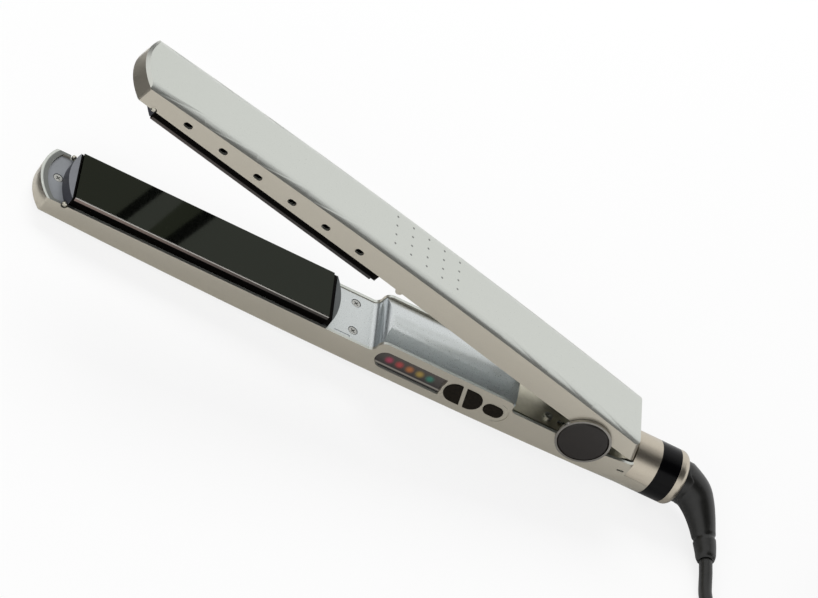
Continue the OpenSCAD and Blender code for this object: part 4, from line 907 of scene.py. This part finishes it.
# %% Smoked window and circuit board
def smoked_acrylic(name, shade, rough, gloss, lights):
    """Polished black plastic; with lights, it glows with a painted reflection and lamp spots behind it."""
    material, tree, shader, where = start_material(name, IOR=1.49, Specular_IOR_Level=gloss)
    grain(tree, shader, where.outputs["Object"], 1.5, 0.001, rough, 0.02)
    shader.inputs["Base Color"].default_value = colour(shade)
    if lights:
        near, shade = light_spots(tree, where.outputs["Object"])
        place = add_node(tree, "ShaderNodeVectorMath", {0: where.outputs["Object"],
                                                        1: lower(0, 0, WINDOW_Z)}, operation="SUBTRACT")
        height = add_node(tree, "ShaderNodeVectorMath", {0: place.outputs[0], 1: DOWN},
                          operation="DOT_PRODUCT")
        part = add_node(tree, "ShaderNodeMapRange", {0: height.outputs["Value"], 1: -WINDOW_HALF,
                                                     2: WINDOW_HALF})
        # The painted reflection: a fixed ramp of glowing tones from the upper edge down
        painted_sheen = add_node(tree, "ShaderNodeValToRGB", {0: part.outputs[0]})
        for i, (at, tone) in enumerate(PAINTED_SHEEN):
            stop = painted_sheen.color_ramp.elements[i] if i < 1 else painted_sheen.color_ramp.elements.new(at)
            stop.position = at
            stop.color = colour(tone)
        painted_sheen.color_ramp.elements.remove(painted_sheen.color_ramp.elements[-1])
        weaker = add_node(tree, "ShaderNodeMath", {0: near, 1: LIGHT_STRENGTH}, operation="MULTIPLY")
        glow = add_node(tree, "ShaderNodeMix", {0: weaker.outputs[0], 6: painted_sheen.outputs[0], 7: shade},
                        data_type="RGBA")
        tree.links.new(glow.outputs[2], shader.inputs["Emission Color"])
        shader.inputs["Emission Strength"].default_value = 0.8
    return material


def circuit_board():
    """Green solder mask over copper tracks 4 mm apart, which show as paler lines."""
    material, tree, shader, where = start_material("solder_masked_laminate", IOR=1.5)
    grain(tree, shader, where.outputs["Object"], 0.8, 0.01, 0.3, 0.08)
    tracks = add_node(tree, "ShaderNodeTexBrick", {"Vector": where.outputs["Object"], "Scale": 1 / (4 * MM),
                                                   "Color1": colour("#1f4b2c"), "Color2": colour("#255634"),
                                                   "Mortar": colour("#3a7148"), "Mortar Size": 0.06})
    tree.links.new(tracks.outputs[0], shader.inputs["Base Color"])
    return material


# The window is deep and clear and glows with a painted reflection; the ring behind it is plain gloss black
lens_acrylic = smoked_acrylic("smoked_acrylic_with_lights", "#121216", 0.1, 0.4, True)
gloss_black = smoked_acrylic("gloss_black_abs", "#040405", 0.22, 0.12, False)
board_laminate = circuit_board()
print("window", lens_acrylic.name, "board", board_laminate.name)

# %% [markdown]
# Each node of the frame gets its finish. Both arms share theirs, as the real ones do. A
# list of nodes for each finish reads like a parts list, and no node can be forgotten.

# %% Give every node its finish
FINISHES = {
    lower_lacquer: ["lower_shell"],
    upper_lacquer: ["upper_shell"],
    cover_lacquer: ["lower_inner_cover", "upper_inner_cover"],
    insert_pbt: ["lower_tip_insert", "upper_tip_insert"],
    step_pbt: ["lower_front_spacer", "upper_front_spacer"],
    spacer_pbt: ["lower_rear_spacer", "upper_rear_spacer"],
    lower_coating: ["lower_plate"],
    upper_coating: ["upper_plate"],
    heater_film: ["lower_heater", "upper_heater"],
    carrier_pps: ["lower_plate_carrier", "upper_plate_carrier"],
    screw_nickel: ["lower_screws", "upper_screws", "hinge_frame_screws", "knuckle_screws", "swivel_clip"],
    sheet_zinc: ["hinge_frame"],
    spring_wire: ["hinge_pin", "opening_spring"],
    cast_knuckle: ["upper_hinge_knuckle"],
    cap_abs: ["hinge_caps"],
    ring_chrome: ["hinge_rings"],
    lens_acrylic: ["display_lens", "display_lights"],
    gloss_black: ["black_ring"],
    button_rubber: ["minus_button", "plus_button", "power_button"],
    switch_pom: ["button_switches"],
    board_laminate: ["control_board"],
    satin_silver: ["collar", "end_ring"],
    cord_pvc: ["swivel_core", "strain_relief", "cord_tube", "cord_coil", "cord_tie"],
    plug_pvc: ["plug"],
    pin_nickel: ["plug_pins"],
}
for material, names in FINISHES.items():
    for name in names:
        node = nodes[name]
        if not node.material_slots:
            node.data.materials.append(material)
        for material_slot in node.material_slots:
            material_slot.material = material
        if name in skins:
            skins[name].material_slots[0].material = material
for piece, material in ((lead, cord_pvc), (boot, cord_pvc), (tie, cord_pvc), (plug, plug_pvc),
                        *((stud, pin_nickel) for stud in studs), *((gap_shade, carrier_pps) for gap_shade in gap_shade_bars)):
    piece.data.materials.append(material)
print("finished nodes", sum(len(names) for names in FINISHES.values()), "of", len(nodes))

# %% [markdown]
# The studio: a plain white floor, a white surround, and soft boxes. Shiny pieces show
# what stands round them more than they show the lamps, so black flags and grey cards
# are hung where their mirror images should fall. They are left out of all but mirror
# rays, so they darken a reflection and never the light on the iron.


# %% Floor, flags and cards
def flat_sheet(name, centre, width, depth, turn=(0, 0, 0), skew=0.0):
    """Flat sheet of the studio, turned about its centre and skewed along its far side."""
    def build(made):
        half_w, half_d = width / 2, depth / 2
        corners = ((-half_w - skew, -half_d), (half_w - skew, -half_d), (half_w + skew, half_d),
                   (-half_w + skew, half_d))
        made.faces.new([made.verts.new((x, y, 0)) for x, y in corners])
    sheet = bpy.data.objects.new(name, mesh_of(name, build))
    bpy.context.scene.collection.objects.link(sheet)
    sheet.location = centre
    sheet.rotation_euler = [math.radians(angle) for angle in turn]
    return sheet


def white_floor():
    """Matt white that the camera sees mostly as plain white, and that keeps the shadow."""
    material = bpy.data.materials.new("white_floor")
    material.use_nodes = True
    tree = material.node_tree
    tree.nodes.clear()
    plain = add_node(tree, "ShaderNodeBsdfDiffuse", {"Color": (0.9, 0.9, 0.9, 1)})
    light = add_node(tree, "ShaderNodeEmission", {"Color": (1, 1, 1, 1), "Strength": 1.0})
    seen = add_node(tree, "ShaderNodeLightPath")
    share = add_node(tree, "ShaderNodeMath", {0: seen.outputs["Is Camera Ray"], 1: FLOOR_SHARE},
                     operation="MULTIPLY")
    both = add_node(tree, "ShaderNodeMixShader", {0: share.outputs[0], 1: plain.outputs[0],
                                                  2: light.outputs[0]})
    add_node(tree, "ShaderNodeOutputMaterial", {"Surface": both.outputs[0]})
    return material


def matt_black():
    """Black card of the flags, which gives nothing back."""
    material, tree, shader, where = start_material("matt_black_card")
    grain(tree, shader, where.outputs["Object"], 3, 0.1, 0.9, 0.05)
    shader.inputs["Base Color"].default_value = colour("#050505")
    return material


def level_card(name, level):
    """Card with an even level of its own, whatever falls on it."""
    material = bpy.data.materials.new(name)
    material.use_nodes = True
    tree = material.node_tree
    tree.nodes.clear()
    light = add_node(tree, "ShaderNodeEmission", {"Color": (*level, 1), "Strength": 1.0})
    add_node(tree, "ShaderNodeOutputMaterial", {"Surface": light.outputs[0]})
    return material


FLOOR_SHARE = 0.8
floor = flat_sheet("studio_floor", (0.1, 0, -0.0003), 12, 12)
floor.data.materials.append(white_floor())
card_black = matt_black()
# Overhead for the dark line of the rolls, over the cover, low by the tip and behind it,
# and two thin strips whose images cross the lower plate. All in metres
flags = [flat_sheet("flag_overhead", (0.65, -0.36, 0.8), 1.3, 0.83),
         flat_sheet("flag_over_cover", (0.48, 0.235, 0.8), 0.15, 0.37, (0, 0, 0), -0.02),
         flat_sheet("flag_low_left", (-0.2755, -0.03, 0.002), 0.449, 0.35),
         flat_sheet("flag_left_behind", (-0.25, 0.4, 0.13), 0.4, 0.25, (90, 0, 40)),
         flat_sheet("strip_near_tip", (0.2401, 0.9048, 0.7945), 0.0095, 0.08, (130, 0, 0), -0.022),
         flat_sheet("strip_behind_it", (0.2839, 0.9048, 0.7945), 0.0115, 0.08, (130, 0, 0), -0.023)]
for flag in flags:
    flag.data.materials.append(card_black)
# Grey levels that the lower plate mirrors, from its tip to its middle: level, place, width
# and how much nearer to the plate the card hangs
CARDS = {"card_tip": ((0.3, 0.33, 0.24), 0.2, 0.08, 0),
         "card_middle": ((0.46, 0.5, 0.41), 0.335, 0.19, 0),
         "card_shade": ((0.21, 0.24, 0.155), 0.271, 0.02, 0.002)}
cards = []
for name, (level, x, width, nearer) in CARDS.items():
    cards.append(flat_sheet(name, (x, 0.9054 - 0.77 * nearer, 0.8015 - 0.64 * nearer), width, 0.09,
                            (130, 0, 0), -0.022))
    cards[-1].data.materials.append(level_card(name, level))
for flag in (*flags, *cards):
    for kind in ("camera", "diffuse", "shadow", "transmission", "volume_scatter"):
        setattr(flag, f"visible_{kind}", False)
print("stage pieces", 1 + len(flags) + len(cards))

# %% [markdown]
# The surround is plain white for the camera and for mirrors, and half as strong as light.
# A sky or a picture of a room would colour the metal. Two soft boxes give the form: one
# behind and above for the backs, and a weaker one in front for the walls.

# %% Surround and lamps
LIGHT_LEVEL = 0.5
SEEN_LEVEL = 1.0
world = bpy.data.worlds.new("white_studio")
world.use_nodes = True
bpy.context.scene.world = world
sky = world.node_tree
sky.nodes.clear()
path = add_node(sky, "ShaderNodeLightPath")
direct = add_node(sky, "ShaderNodeMath", {0: path.outputs["Is Camera Ray"],
                                          1: path.outputs["Is Glossy Ray"]}, operation="MAXIMUM")
white = add_node(sky, "ShaderNodeMath", {0: direct.outputs[0], 1: path.outputs["Is Transmission Ray"]},
                 operation="MAXIMUM")
strength = add_node(sky, "ShaderNodeMapRange", {0: white.outputs[0], 3: LIGHT_LEVEL, 4: SEEN_LEVEL})
surround = add_node(sky, "ShaderNodeBackground", {"Color": (1, 1, 1, 1), "Strength": strength.outputs[0]})
add_node(sky, "ShaderNodeOutputWorld", {"Surface": surround.outputs[0]})


def soft_box(name, place, target, width, height, watts):
    """Rectangular lamp aimed at a point."""
    data = bpy.data.lights.new(name, "AREA")
    data.shape = "RECTANGLE"
    data.size = width
    data.size_y = height
    data.energy = watts
    lamp = bpy.data.objects.new(name, data)
    lamp.location = place
    lamp.rotation_euler = (Vector(target) - Vector(place)).to_track_quat("-Z", "Y").to_euler()
    lamp.visible_glossy = False
    bpy.context.scene.collection.objects.link(lamp)
    return lamp


soft_box("key_behind", (-0.1, 1.1, 1.0), (0.1, 0, 0.03), 0.9, 0.6, 14)
soft_box("fill_front", (-0.5, -1.1, 0.5), (0.1, 0, 0.03), 0.8, 0.6, 7)
bpy.context.scene.view_settings.view_transform = "Standard"
print("surround", LIGHT_LEVEL, "as light and", SEEN_LEVEL, "as seen")
